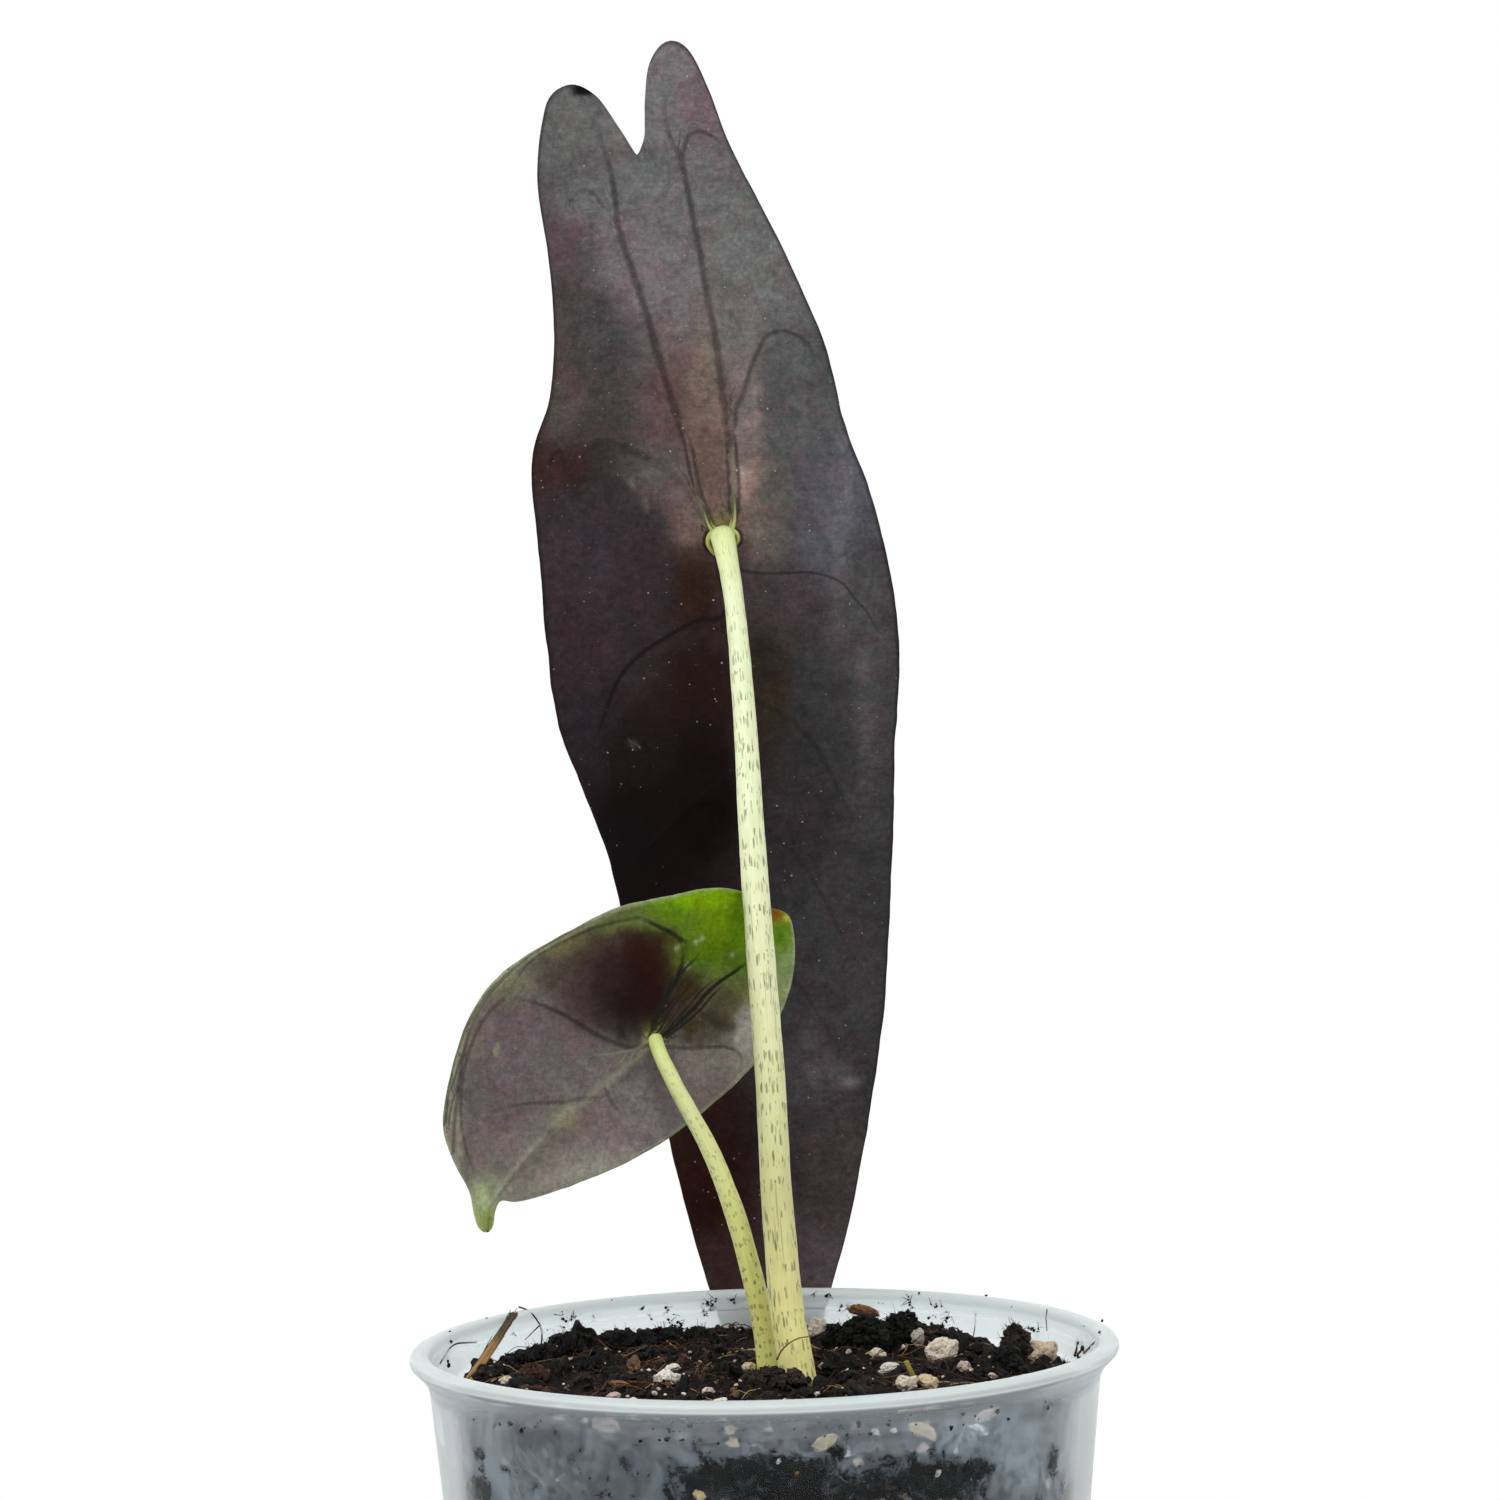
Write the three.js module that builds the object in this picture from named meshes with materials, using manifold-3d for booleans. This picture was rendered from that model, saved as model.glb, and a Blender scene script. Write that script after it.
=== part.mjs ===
// A young potted Alocasia longiloba with purple-black leaves, in a translucent round nursery pot.
// Units are millimetres and +Z is up. The origin is the centre of the pot's flat underside.
// The viewer stands at -Y and sees the leaves from below: their upper sides face +Y.
//
// Pieces: the pot, the potting mix in it, a straw splinter stuck in the mix, the rhizome with its
// roots, and two leaves, each made of a stalk and a shield-shaped blade.

import * as THREE from "three";
import { mergeVertices } from "three/addons/utils/BufferGeometryUtils.js";
import Module from "manifold-3d";

const wasm = await Module();
wasm.setup();

// Driving dimensions

const CLEARANCE = 0.3; // pieces that touch on the real plant stay this far apart

const POT_HEIGHT = 80;
const RIM_RADIUS = 45;
const NECK_RADIUS = 42.6; // outside of the wall, just under the rolled rim
const FOOT_RADIUS = 35;
const WALL = 1;
const FLOOR = 1.2;
const POT_SIDES = 72;
const DRAIN_HOLES = 6;
const DRAIN_RADIUS = 2.5;
const DRAIN_CIRCLE = 24;

const SOIL_Z = 74.6; // mean level of the mix
const SOIL_RINGS = 12; // the outermost of its rings has six points for each ring
const CRUMB_WAVE = 0.45;
const LOOSE_PERLITE = 16;
const LOOSE_CRUMBS = 46;

const BLADE_THICKNESS = 0.8;
const STALK_SIDES = 12;
const ROOT_SIDES = 5;
const ROOTS = 9;

// Materials

const matt = (color, roughness) =>
  new THREE.MeshStandardMaterial({ color, roughness, metalness: 0 });
const MATERIALS = {
  pot: matt(0xdfe9ea, 0.35),
  soil: matt(0x241a14, 0.95),
  straw_splinter: matt(0x9a7440, 0.8),
  rhizome: matt(0x9c8464, 0.85),
  large_petiole: matt(0xd3dc9c, 0.45),
  small_petiole: matt(0xc4d488, 0.45),
  large_blade: matt(0x2a2026, 0.42),
  small_blade: matt(0x5a5450, 0.42),
};
MATERIALS.pot.transparent = true;
MATERIALS.pot.opacity = 0.5;

// Solids and meshes

// A closed three.js geometry as a solid that can be joined and cut.
function solidOf(geometry) {
  const bare = geometry.clone();
  bare.deleteAttribute("normal");
  bare.deleteAttribute("uv");
  const merged = mergeVertices(bare, 1e-4);
  const mesh = new wasm.Mesh({
    numProp: 3,
    vertProperties: merged.attributes.position.array,
    triVerts: new Uint32Array(merged.index.array),
  });
  return new wasm.Manifold(mesh);
}

// A mesh of the solid's largest body, without the scraps that a cut leaves.
function namedMesh(name, solid) {
  const body = solid.decompose().reduce((a, b) => (b.volume() > a.volume() ? b : a));
  const { vertProperties, triVerts } = body.getMesh();
  const geometry = new THREE.BufferGeometry();
  geometry.setAttribute("position", new THREE.BufferAttribute(vertProperties, 3));
  geometry.setIndex(new THREE.BufferAttribute(triVerts, 1));
  geometry.computeVertexNormals();
  const mesh = new THREE.Mesh(geometry, MATERIALS[name]);
  mesh.name = name;
  return mesh;
}

function solidFrom(points, triangles) {
  const geometry = new THREE.BufferGeometry().setFromPoints(points);
  geometry.setIndex(triangles.flat());
  return solidOf(geometry);
}

function circle(radius, z, sides) {
  return Array.from({ length: sides }, (_, i) => {
    const turn = (2 * Math.PI * i) / sides;
    return new THREE.Vector3(radius * Math.cos(turn), radius * Math.sin(turn), z);
  });
}

// A closed skin over a stack of rings, from one end point to the other. Seen from the last point,
// each ring runs anticlockwise.
function skinOver(first, rings, last) {
  const n = rings[0].length;
  const at = (ring, i) => 1 + ring * n + (i % n);
  const end = 1 + rings.length * n;
  const triangles = [];
  for (let i = 0; i < n; i++) {
    triangles.push([0, at(0, i + 1), at(0, i)]);
    triangles.push([end, at(rings.length - 1, i), at(rings.length - 1, i + 1)]);
    for (let r = 0; r + 1 < rings.length; r++) {
      triangles.push([at(r, i), at(r, i + 1), at(r + 1, i + 1)]);
      triangles.push([at(r, i), at(r + 1, i + 1), at(r + 1, i)]);
    }
  }
  return solidFrom([first, ...rings.flat(), last], triangles);
}

// A round stem along a smooth curve through its stations, each [x, y, z, radius].
function stem(stations, sides, steps, grow = 0) {
  const centres = stations.map(([x, y, z]) => new THREE.Vector3(x, y, z));
  const curve = new THREE.CatmullRomCurve3(centres, false, "centripetal");
  const frames = curve.computeFrenetFrames(steps);
  const radiusAt = (t) => {
    const place = t * (stations.length - 1);
    const i = Math.min(Math.floor(place), stations.length - 2);
    return THREE.MathUtils.lerp(stations[i][3], stations[i + 1][3], place - i) + grow;
  };
  const rings = [];
  for (let k = 0; k <= steps; k++) {
    const centre = curve.getPointAt(k / steps);
    const radius = radiusAt(curve.getUtoTmapping(k / steps));
    const section = circle(radius, 0, sides);
    const placed = section.map((p) =>
      centre
        .clone()
        .addScaledVector(frames.normals[k], p.x)
        .addScaledVector(frames.binormals[k], p.y),
    );
    rings.push(placed);
  }
  const end = (t, way) => curve.getPoint(t).addScaledVector(curve.getTangent(t), way * grow);
  return skinOver(end(0, -1), rings, end(1, 1));
}

// A random draw that is the same on every run.
function seededDraw(seed) {
  let state = seed;
  return () => {
    state = (state * 48271) % 2147483647;
    return state / 2147483647;
  };
}

// Pot: a thin tapered cup with a flat floor, drain holes and a rolled rim

const NECK_Z = POT_HEIGHT - 3.8;
const STEP_Z = POT_HEIGHT - 2.7; // here the rim's wider mouth steps in to the wall

// Radius of the wall's inner face at a height.
function innerRadius(z) {
  const share = (z - FLOOR) / (STEP_Z - FLOOR);
  return THREE.MathUtils.lerp(FOOT_RADIUS, NECK_RADIUS, share) - WALL;
}

function pot() {
  const top = POT_HEIGHT;
  const profile = [
    [0, 0],
    [FOOT_RADIUS - 1, 0],
    [FOOT_RADIUS, 1],
    [NECK_RADIUS, NECK_Z],
    [NECK_RADIUS + 0.9, NECK_Z + 0.3],
    [RIM_RADIUS - 0.4, top - 2.8],
    [RIM_RADIUS, top - 1.8],
    [RIM_RADIUS - 0.1, top - 0.9],
    [RIM_RADIUS - 0.7, top - 0.2],
    [RIM_RADIUS - 1.5, top],
    [RIM_RADIUS - 2.2, top - 0.2],
    [RIM_RADIUS - 2.6, top - 0.7],
    [RIM_RADIUS - 2.8, top - 2.3],
    [innerRadius(STEP_Z), STEP_Z],
    [innerRadius(FLOOR), FLOOR],
    [0, FLOOR],
  ];
  const outline = profile.map(([r, z]) => new THREE.Vector2(r, z));
  let solid = solidOf(new THREE.LatheGeometry(outline, POT_SIDES).rotateX(Math.PI / 2));
  for (let i = 0; i < DRAIN_HOLES; i++) {
    const turn = (2 * Math.PI * (i + 0.5)) / DRAIN_HOLES;
    const drill = new THREE.CylinderGeometry(DRAIN_RADIUS, DRAIN_RADIUS, 4 * FLOOR, 16);
    drill.rotateX(Math.PI / 2);
    drill.translate(DRAIN_CIRCLE * Math.cos(turn), DRAIN_CIRCLE * Math.sin(turn), FLOOR / 2);
    solid = solid.subtract(solidOf(drill));
  }
  return solid;
}

// Leaf stalks: each station is [x, y, z, radius], from inside the rhizome up to the blade

const LARGE_STALK = [
  [5.6, 1.6, 58, 2.3],
  [5, 0.7, 68, 2.35],
  [4.1, 0.1, 76, 2.3],
  [3.1, 0.5, 83, 2.2],
  [2.1, 2.4, 97.3, 2],
  [1.6, 5.8, 112.4, 1.95],
  [0.8, 10.3, 127.6, 1.88],
  [0, 15.9, 143.1, 1.74],
  [-0.6, 22.8, 159, 1.55],
  [-1.5, 29.8, 173.4, 1.35],
  [-2.2, 33, 179.4, 1.4],
  [-2.8, 35.4, 183, 1.75],
  [-3.1, 38.2, 184.7, 1.9],
];
const SMALL_STALK = [
  [1.6, 4.6, 59, 1.4],
  [0.8, 5.6, 68, 1.4],
  [0.3, 6, 77, 1.4],
  [-0.2, 6, 81.5, 1.4],
  [-1.5, 6, 88, 1.38],
  [-3.6, 6, 96, 1.3],
  [-6.4, 6, 103.6, 1.16],
  [-10.4, 6.3, 111.4, 1.04],
  [-12.5, 7.6, 115.8, 0.98],
  [-13.3, 10.2, 118, 1.05],
];

const largeStalk = (grow) => stem(LARGE_STALK, STALK_SIDES, 24, grow);
const smallStalk = (grow) => stem(SMALL_STALK, STALK_SIDES, 16, grow);

// Leaf blades. Each point of a blade's plan is [a, b]: a runs across and b up, both from the foot
// where the stalk joins it. The margins and the midrib run from the notch down to the tip.

const LARGE_LEAF = {
  foot: new THREE.Vector3(-3.1, 37.6, 185.8),
  across: new THREE.Vector3(1, 0, 0),
  notch: [-10.3, 50.4],
  tip: [5.5, -141],
  left: [
    [-12.8, 54.4],
    [-15.9, 58.6],
    [-18.9, 60],
    [-21.8, 58.6],
    [-23.3, 54.5],
    [-24.1, 47.4],
    [-23.1, 38],
    [-22.5, 28],
    [-23.4, 18.4],
    [-25.8, 11.9],
    [-26.3, 7.5],
    [-25.6, -3],
    [-24.8, -16],
    [-23.6, -26.5],
    [-20.4, -36],
    [-17, -46],
    [-14.6, -58],
    [-11.9, -73.9],
    [-8.2, -92],
    [-4.7, -105.8],
    [-1.2, -117.5],
    [2, -130],
  ],
  midrib: [
    [-6.5, 32],
    [-3, 15],
    [0, 0],
    [1.2, -30],
    [2.6, -70],
    [4, -105],
  ],
  right: [
    [-9.3, 53],
    [-9.1, 57.5],
    [-8.3, 62.5],
    [-6.6, 65.2],
    [-5, 65.7],
    [-3.2, 64.6],
    [-0.4, 59],
    [2.4, 51.4],
    [7.2, 42],
    [12, 32],
    [15.2, 23.7],
    [17.2, 14.2],
    [20.8, 3.8],
    [23.1, -6],
    [24.3, -17],
    [23.4, -30],
    [22.9, -42],
    [22.2, -55],
    [21, -68],
    [18.8, -82],
    [15.6, -97.5],
    [12.6, -107.5],
    [9.7, -118],
    [7.3, -130],
  ],
  rows: 64,
  columns: 4,
  depth: largeLeafDepth,
};
const SMALL_LEAF = {
  foot: new THREE.Vector3(-13.2, 9.8, 117.9),
  across: new THREE.Vector3(0.857, 0.515, 0),
  notch: [16.9, 16.3],
  tip: [-24.8, -22.9],
  left: [
    [14.8, 18.1],
    [10.1, 19.2],
    [2.3, 18.4],
    [-5, 17.2],
    [-12.3, 14.5],
    [-18.5, 11.7],
    [-23.9, 8],
    [-27.6, 2.6],
    [-29.9, -4],
    [-30.6, -9.2],
    [-29.3, -13.4],
    [-26.9, -17.8],
  ],
  midrib: [
    [7, 7.5],
    [0, 0],
    [-8, -7],
    [-17.5, -12.6],
    [-23.6, -17.4],
  ],
  right: [
    [18.6, 16.1],
    [20.8, 15],
    [21.6, 11.3],
    [21, 6.3],
    [19, 1.8],
    [15.2, -4],
    [10.2, -7.9],
    [1.8, -12.9],
    [-5.5, -16],
    [-13.9, -18.3],
    [-20.6, -19.4],
    [-23.2, -19.4],
    [-24, -21],
  ],
  rows: 40,
  columns: 4,
  depth: smallLeafDepth,
};

// How far the large blade lies behind its foot at [a, b]. It arches back and down to the tip, both
// halves fold away from the midrib, and the margins wave. Side runs from -1 on the left margin over
// 0 on the midrib to 1 on the right margin.
function largeLeafDepth(a, b, side) {
  const arch = 12.9 - 21.5 * Math.pow(Math.max(b + 141, 0) / 207, 1.35);
  const out = Math.abs(side);
  const widest = Math.min(1, (b + 141) / 90, (62 - b) / 30);
  const fold = 4.2 * Math.max(widest, 0) * Math.pow(out, 1.5);
  const wave = 1.2 * out * out * widest * Math.sin((2 * Math.PI * b) / 41 + (side < 0 ? 1.2 : 3.6));
  return arch + fold + wave;
}

// The small blade is a shallow shield whose margins bend towards the viewer.
function smallLeafDepth(a, b, side) {
  const out = Math.abs(side);
  const wave = 0.5 * out * Math.sin((a + b) / 6);
  return -1.3 * out * out - 0.0012 * (a * a + b * b) + wave;
}

// The blade's plan as rows of [point, side], each from the left margin over the midrib to the right
// margin. The first and the last row shrink to the notch and the tip.
function planRows(leaf) {
  const line = (points) => {
    const corners = [leaf.notch, ...points, leaf.tip].map(([a, b]) => new THREE.Vector3(a, b, 0));
    return new THREE.CatmullRomCurve3(corners, false, "centripetal").getSpacedPoints(leaf.rows);
  };
  const [left, midrib, right] = [line(leaf.left), line(leaf.midrib), line(leaf.right)];
  return midrib.map((middle, i) => {
    const row = [];
    for (let j = -leaf.columns; j <= leaf.columns; j++) {
      const side = j / leaf.columns;
      const margin = side < 0 ? left[i] : right[i];
      row.push([middle.clone().lerp(margin, Math.abs(side)), side]);
    }
    return row;
  });
}

// A blade is a thin slab whose two faces are split into the same triangles.
function blade(leaf, grow = 0) {
  const rows = planRows(leaf);
  const wide = rows[0].length;
  const plan = [rows[0][0], ...rows.slice(1, -1).flat(), rows.at(-1)[0]];
  const half = BLADE_THICKNESS / 2 + grow;
  const face = (way) =>
    plan.map(([point, side]) =>
      leaf.foot
        .clone()
        .addScaledVector(leaf.across, point.x)
        .add(new THREE.Vector3(0, leaf.depth(point.x, point.y, side) + way * half, point.y)),
    );
  const at = (i, j) => {
    if (i === 0) return 0;
    return i === leaf.rows ? plan.length - 1 : 1 + (i - 1) * wide + j;
  };
  const near = [];
  for (let i = 0; i < leaf.rows; i++) {
    for (let j = 0; j + 1 < wide; j++) {
      if (i + 1 < leaf.rows) near.push([at(i, j), at(i + 1, j), at(i + 1, j + 1)]);
      if (i > 0) near.push([at(i, j), at(i + 1, j + 1), at(i, j + 1)]);
    }
  }
  const shift = plan.length;
  const far = near.map(([p, q, r]) => [p + shift, r + shift, q + shift]);
  const edge = [];
  for (let i = 0; i < leaf.rows; i++) {
    const [left, nextLeft] = [at(i, 0), at(i + 1, 0)];
    const [right, nextRight] = [at(i, wide - 1), at(i + 1, wide - 1)];
    edge.push([left, left + shift, nextLeft + shift], [left, nextLeft + shift, nextLeft]);
    edge.push([right, nextRight + shift, right + shift], [right, nextRight, nextRight + shift]);
  }
  return solidFrom([...face(-1), ...face(1)], [...near, ...far, ...edge]);
}

// Rhizome: a knobbly upright corm with roots that run out and down through the mix

const CORM = { x: 3.4, y: 2.4, z: 54, wide: 7.4, tall: 9, sides: 16, levels: 8 };

function corm(grow) {
  const rings = [];
  for (let k = 1; k < CORM.levels; k++) {
    const tilt = (Math.PI * k) / CORM.levels;
    const z = CORM.z - (CORM.tall + grow) * Math.cos(tilt);
    const ring = circle(1, z, CORM.sides).map((p, i) => {
      const knob = 0.5 * Math.sin(3 * i + 2 * k);
      const r = (CORM.wide + grow + knob) * Math.sin(tilt);
      return new THREE.Vector3(CORM.x + r * p.x, CORM.y + r * p.y, z);
    });
    rings.push(ring);
  }
  const end = (way) => new THREE.Vector3(CORM.x, CORM.y, CORM.z + way * (CORM.tall + grow));
  return skinOver(end(-1), rings, end(1));
}

function rhizome(grow = 0) {
  const draw = seededDraw(7102);
  let solid = corm(grow);
  for (let i = 0; i < ROOTS; i++) {
    const turn = (2 * Math.PI * (i + 0.6 * draw())) / ROOTS;
    const reach = 24 + 6 * draw();
    const bottom = 10 + 22 * draw();
    const stations = [0.1, 0.35, 0.6, 0.8, 1].map((share) => {
      const bend = turn + 0.35 * Math.sin(5 * share + i);
      const x = CORM.x * (1 - share) + reach * share * Math.cos(bend);
      const y = CORM.y * (1 - share) + reach * share * Math.sin(bend);
      const z = THREE.MathUtils.lerp(CORM.z, bottom, Math.pow(share, 1.6));
      return [x, y, z, 1.1 - 0.6 * share];
    });
    solid = solid.add(stem(stations, ROOT_SIDES, 8, grow));
  }
  return solid;
}

// Straw splinter: a flat strip stuck in the mix, that leans on the rim at the back left

function splinter(grow = 0) {
  const [width, thickness] = [1.3, 0.7];
  const foot = new THREE.Vector3(-38.8, 3, 73.6);
  const head = new THREE.Vector3(-33.3, 24.2, 80.4);
  const along = head.clone().sub(foot);
  const strip = new THREE.BoxGeometry(
    width + 2 * grow,
    thickness + 2 * grow,
    along.length() + 2 * grow,
  );
  const upright = new THREE.Vector3(0, 0, 1);
  strip.applyQuaternion(
    new THREE.Quaternion().setFromUnitVectors(upright, along.clone().normalize()),
  );
  const middle = foot.clone().lerp(head, 0.5);
  strip.translate(middle.x, middle.y, middle.z);
  return solidOf(strip);
}

// Potting mix: its level rises in mounds, and lumps, crumbs and perlite grains stand out of it

// Each mound is [x, y, height, reach].
const MOUNDS = [
  [1.5, -5.5, 2.4, 5],
  [-25, 26, 2, 9],
  [-34, 12, 0.8, 5],
  [-6, 34, 1.2, 8],
  [20, 30, 2.6, 7],
  [33, 18, 2, 5],
  [6, 12, 0.8, 8],
];
// Each placed lump and perlite grain is [x, y, size].
const PLACED_LUMPS = [
  [0, -6, 2.4],
  [4.5, -5.5, 2],
  [18, 32, 3],
  [23.5, 29.5, 1.8],
  [34, 19, 2.6],
  [31, 22, 1.8],
  [-31, 21, 2],
  [-24, 29, 2.4],
  [-16, 33, 2],
];
const PLACED_PERLITE = [
  [-12.2, 3.3, 2.3],
  [-10, 4.6, 1.5],
  [-19.1, -9.5, 1.2],
  [-7, -6.8, 1],
  [-33.5, 6.3, 1.2],
  [7.3, 31, 1.8],
  [20.8, 23.4, 1.5],
  [23.2, 14.7, 2.2],
  [15.1, 17.2, 1.3],
  [15.9, 5.4, 1.3],
  [25.8, 7.1, 1.3],
  [19, -5.4, 2.4],
  [36.1, 11.5, 2.6],
  [6.3, -10.1, 1],
  [11.6, -5.8, 1],
];

// Height of the mix over a point of the pot's floor.
function soilHeight(x, y) {
  let z = SOIL_Z;
  for (const [moundX, moundY, height, reach] of MOUNDS) {
    const far = ((x - moundX) ** 2 + (y - moundY) ** 2) / reach ** 2;
    z += height * Math.exp(-far);
  }
  const waves = Math.sin(0.72 * x + 0.3 * y) + Math.sin(0.68 * y - 0.4 * x + 1);
  return z + CRUMB_WAVE * waves;
}

// A blunt irregular grain with 20 faces, sunk a third into the mix.
function grain(x, y, size, draw) {
  const shape = new THREE.IcosahedronGeometry(size, 0);
  shape.deleteAttribute("normal");
  shape.deleteAttribute("uv");
  const grainShape = mergeVertices(shape);
  const position = grainShape.attributes.position;
  const z = soilHeight(x, y) + 0.3 * size;
  for (let i = 0; i < position.count; i++) {
    const corner = new THREE.Vector3().fromBufferAttribute(position, i);
    corner.multiplyScalar(0.85 + 0.3 * draw());
    position.setXYZ(i, x + corner.x, y + corner.y, z + 0.75 * corner.z);
  }
  return solidOf(grainShape);
}

// The bare body of the mix. Ring k of its surface has 6k points, so that its triangles stay even.
function soilBody() {
  const bottom = FLOOR + CLEARANCE;
  const edge = innerRadius(SOIL_Z) - CLEARANCE - 0.2;
  const points = [new THREE.Vector3(0, 0, soilHeight(0, 0))];
  for (let k = 1; k <= SOIL_RINGS; k++) {
    const ring = circle((edge * k) / SOIL_RINGS, 0, 6 * k);
    points.push(...ring.map((p) => p.setZ(soilHeight(p.x, p.y))));
  }
  const at = (k, i) => (k === 0 ? 0 : 1 + 3 * k * (k - 1) + (i % (6 * k)));
  const triangles = [];
  for (let k = 1; k <= SOIL_RINGS; k++) {
    for (let i = 0; i < 6 * k; i++) {
      const sector = Math.floor(i / k);
      const inner = i - sector; // the point of the ring inside this one, in the same sector
      triangles.push([at(k, i), at(k, i + 1), at(k - 1, inner)]);
      if (i % k !== k - 1) triangles.push([at(k - 1, inner), at(k, i + 1), at(k - 1, inner + 1)]);
    }
  }
  const sides = 6 * SOIL_RINGS;
  const floorStart = points.length;
  points.push(...circle(innerRadius(bottom) - CLEARANCE, bottom, sides));
  points.push(new THREE.Vector3(0, 0, bottom));
  for (let i = 0; i < sides; i++) {
    const [low, nextLow] = [floorStart + i, floorStart + ((i + 1) % sides)];
    const [high, nextHigh] = [at(SOIL_RINGS, i), at(SOIL_RINGS, i + 1)];
    triangles.push([low, nextLow, nextHigh], [low, nextHigh, high]);
    triangles.push([points.length - 1, nextLow, low]);
  }
  return solidFrom(points, triangles);
}

function soil() {
  const draw = seededDraw(3841);
  const scattered = (smallest, largest) => {
    const turn = 2 * Math.PI * draw();
    const r = 38 * Math.sqrt(draw());
    return [r * Math.cos(turn), r * Math.sin(turn), smallest + (largest - smallest) * draw()];
  };
  const grains = [...PLACED_LUMPS, ...PLACED_PERLITE];
  for (let i = 0; i < LOOSE_PERLITE; i++) grains.push(scattered(0.7, 1.5));
  for (let i = 0; i < LOOSE_CRUMBS; i++) grains.push(scattered(0.9, 2));
  let solid = soilBody();
  for (const [x, y, size] of grains) solid = solid.add(grain(x, y, size, draw));
  return solid
    .subtract(rhizome(CLEARANCE))
    .subtract(largeStalk(CLEARANCE))
    .subtract(smallStalk(CLEARANCE))
    .subtract(splinter(CLEARANCE));
}

// Assembly: each piece in its place

const rhizomeRoom = rhizome(CLEARANCE);
const plant = new THREE.Group();
plant.add(
  namedMesh("rhizome", rhizome()),
  namedMesh(
    "large_petiole",
    largeStalk(0).subtract(rhizomeRoom).subtract(blade(LARGE_LEAF, CLEARANCE)),
  ),
  namedMesh("large_blade", blade(LARGE_LEAF)),
  namedMesh(
    "small_petiole",
    smallStalk(0).subtract(rhizomeRoom).subtract(blade(SMALL_LEAF, CLEARANCE)),
  ),
  namedMesh("small_blade", blade(SMALL_LEAF)),
);

const pottedPlant = new THREE.Group();
pottedPlant.add(
  namedMesh("pot", pot()),
  namedMesh("soil", soil()),
  namedMesh("straw_splinter", splinter()),
  plant,
);

export default pottedPlant;
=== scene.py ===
# A young potted Alocasia longiloba: two leaves with purple-black undersides, in a translucent pot.
# Lengths are in millimetres here and turn into metres when a mesh is made. The viewer is at -Y.

import itertools
import math

import bpy
import numpy as np
from mathutils import Matrix, Vector


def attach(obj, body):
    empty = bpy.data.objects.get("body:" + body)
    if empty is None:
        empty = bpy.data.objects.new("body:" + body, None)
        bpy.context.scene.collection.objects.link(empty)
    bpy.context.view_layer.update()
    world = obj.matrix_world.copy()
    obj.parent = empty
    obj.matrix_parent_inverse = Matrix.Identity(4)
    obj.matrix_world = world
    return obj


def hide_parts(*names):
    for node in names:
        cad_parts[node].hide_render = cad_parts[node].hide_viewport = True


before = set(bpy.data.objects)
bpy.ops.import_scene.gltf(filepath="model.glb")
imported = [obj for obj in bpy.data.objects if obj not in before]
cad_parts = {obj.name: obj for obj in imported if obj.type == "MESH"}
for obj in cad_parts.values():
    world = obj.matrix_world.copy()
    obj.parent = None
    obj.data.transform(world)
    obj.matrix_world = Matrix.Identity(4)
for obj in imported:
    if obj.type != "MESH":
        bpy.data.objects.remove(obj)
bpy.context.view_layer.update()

MM = 0.001

# Camera: level, at the height of the large leaf's middle, turned a little about its own axis

CAMERA_Y = -462
CAMERA_Z = 155
FOCAL = 3629  # in pixels of a picture PICTURE pixels wide
PICTURE = 1500
ROLL = math.radians(-1.36)

camera_data = bpy.data.cameras.new("camera")
camera_data.sensor_width = 36
camera_data.lens = 36 * FOCAL / PICTURE
camera = bpy.data.objects.new("camera", camera_data)
camera.matrix_world = (
    Matrix.Translation((0, CAMERA_Y * MM, CAMERA_Z * MM))
    @ Matrix.Rotation(math.pi / 2, 4, "X")
    @ Matrix.Rotation(ROLL, 4, "Z")
)
bpy.context.scene.collection.objects.link(camera)
bpy.context.scene.camera = camera


def seen_at(px, py, y):
    """The place at depth y that shows at a pixel of the picture."""
    right, down = px - PICTURE / 2, py - PICTURE / 2
    u = right * math.cos(ROLL) + down * math.sin(ROLL)
    v = down * math.cos(ROLL) - right * math.sin(ROLL)
    scale = (y - CAMERA_Y) / FOCAL
    return np.array([u * scale, y, CAMERA_Z - v * scale])


def first_hit(px, py, inside, start, stop):
    """The first place from depth start to depth stop, seen at a pixel, where inside(x, y, z) holds."""
    for y in np.arange(start, stop, 0.1):
        place = seen_at(px, py, y)
        if inside(*place):
            return place
    return None


# Shapes

rng = np.random.default_rng(20)


def hashed(cells, seed):
    """A repeatable number from 0 to 1 for each whole-number cell (n, 3)."""
    x, y, z = (cells[..., i].astype(np.uint64) for i in range(3))
    h = x * np.uint64(73856093) ^ y * np.uint64(19349663) ^ z * np.uint64(83492791)
    h = (h + np.uint64(seed * 7919 + 101)) * np.uint64(2654435761) % np.uint64(2**32)
    h = (h ^ (h >> np.uint64(15))) * np.uint64(2246822519) % np.uint64(2**32)
    return (h ^ (h >> np.uint64(13))) % np.uint64(65536) / 65536.0


def noise(points, size, seed=0):
    """Smooth noise from about -1 to 1 at points (n, 3), with bumps of a size."""
    scaled = np.asarray(points, float) / size + 4000
    cell = np.floor(scaled).astype(np.int64)
    part = scaled - cell
    ease = part * part * part * (part * (part * 6 - 15) + 10)
    total = 0
    for corner in itertools.product((0, 1), repeat=3):
        corner = np.array(corner)
        weight = np.prod(np.where(corner, ease, 1 - ease), axis=-1)
        slope = [2 * hashed(cell + corner, seed + k) - 1 for k in (0, 11, 23)]
        total = total + weight * np.sum(np.stack(slope, -1) * (part - corner), -1)
    return 1.6 * total


def rough(points, size, seed=0, octaves=3):
    return sum(noise(points, size / 2**k, seed + 5 * k) / 2**k for k in range(octaves))


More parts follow.
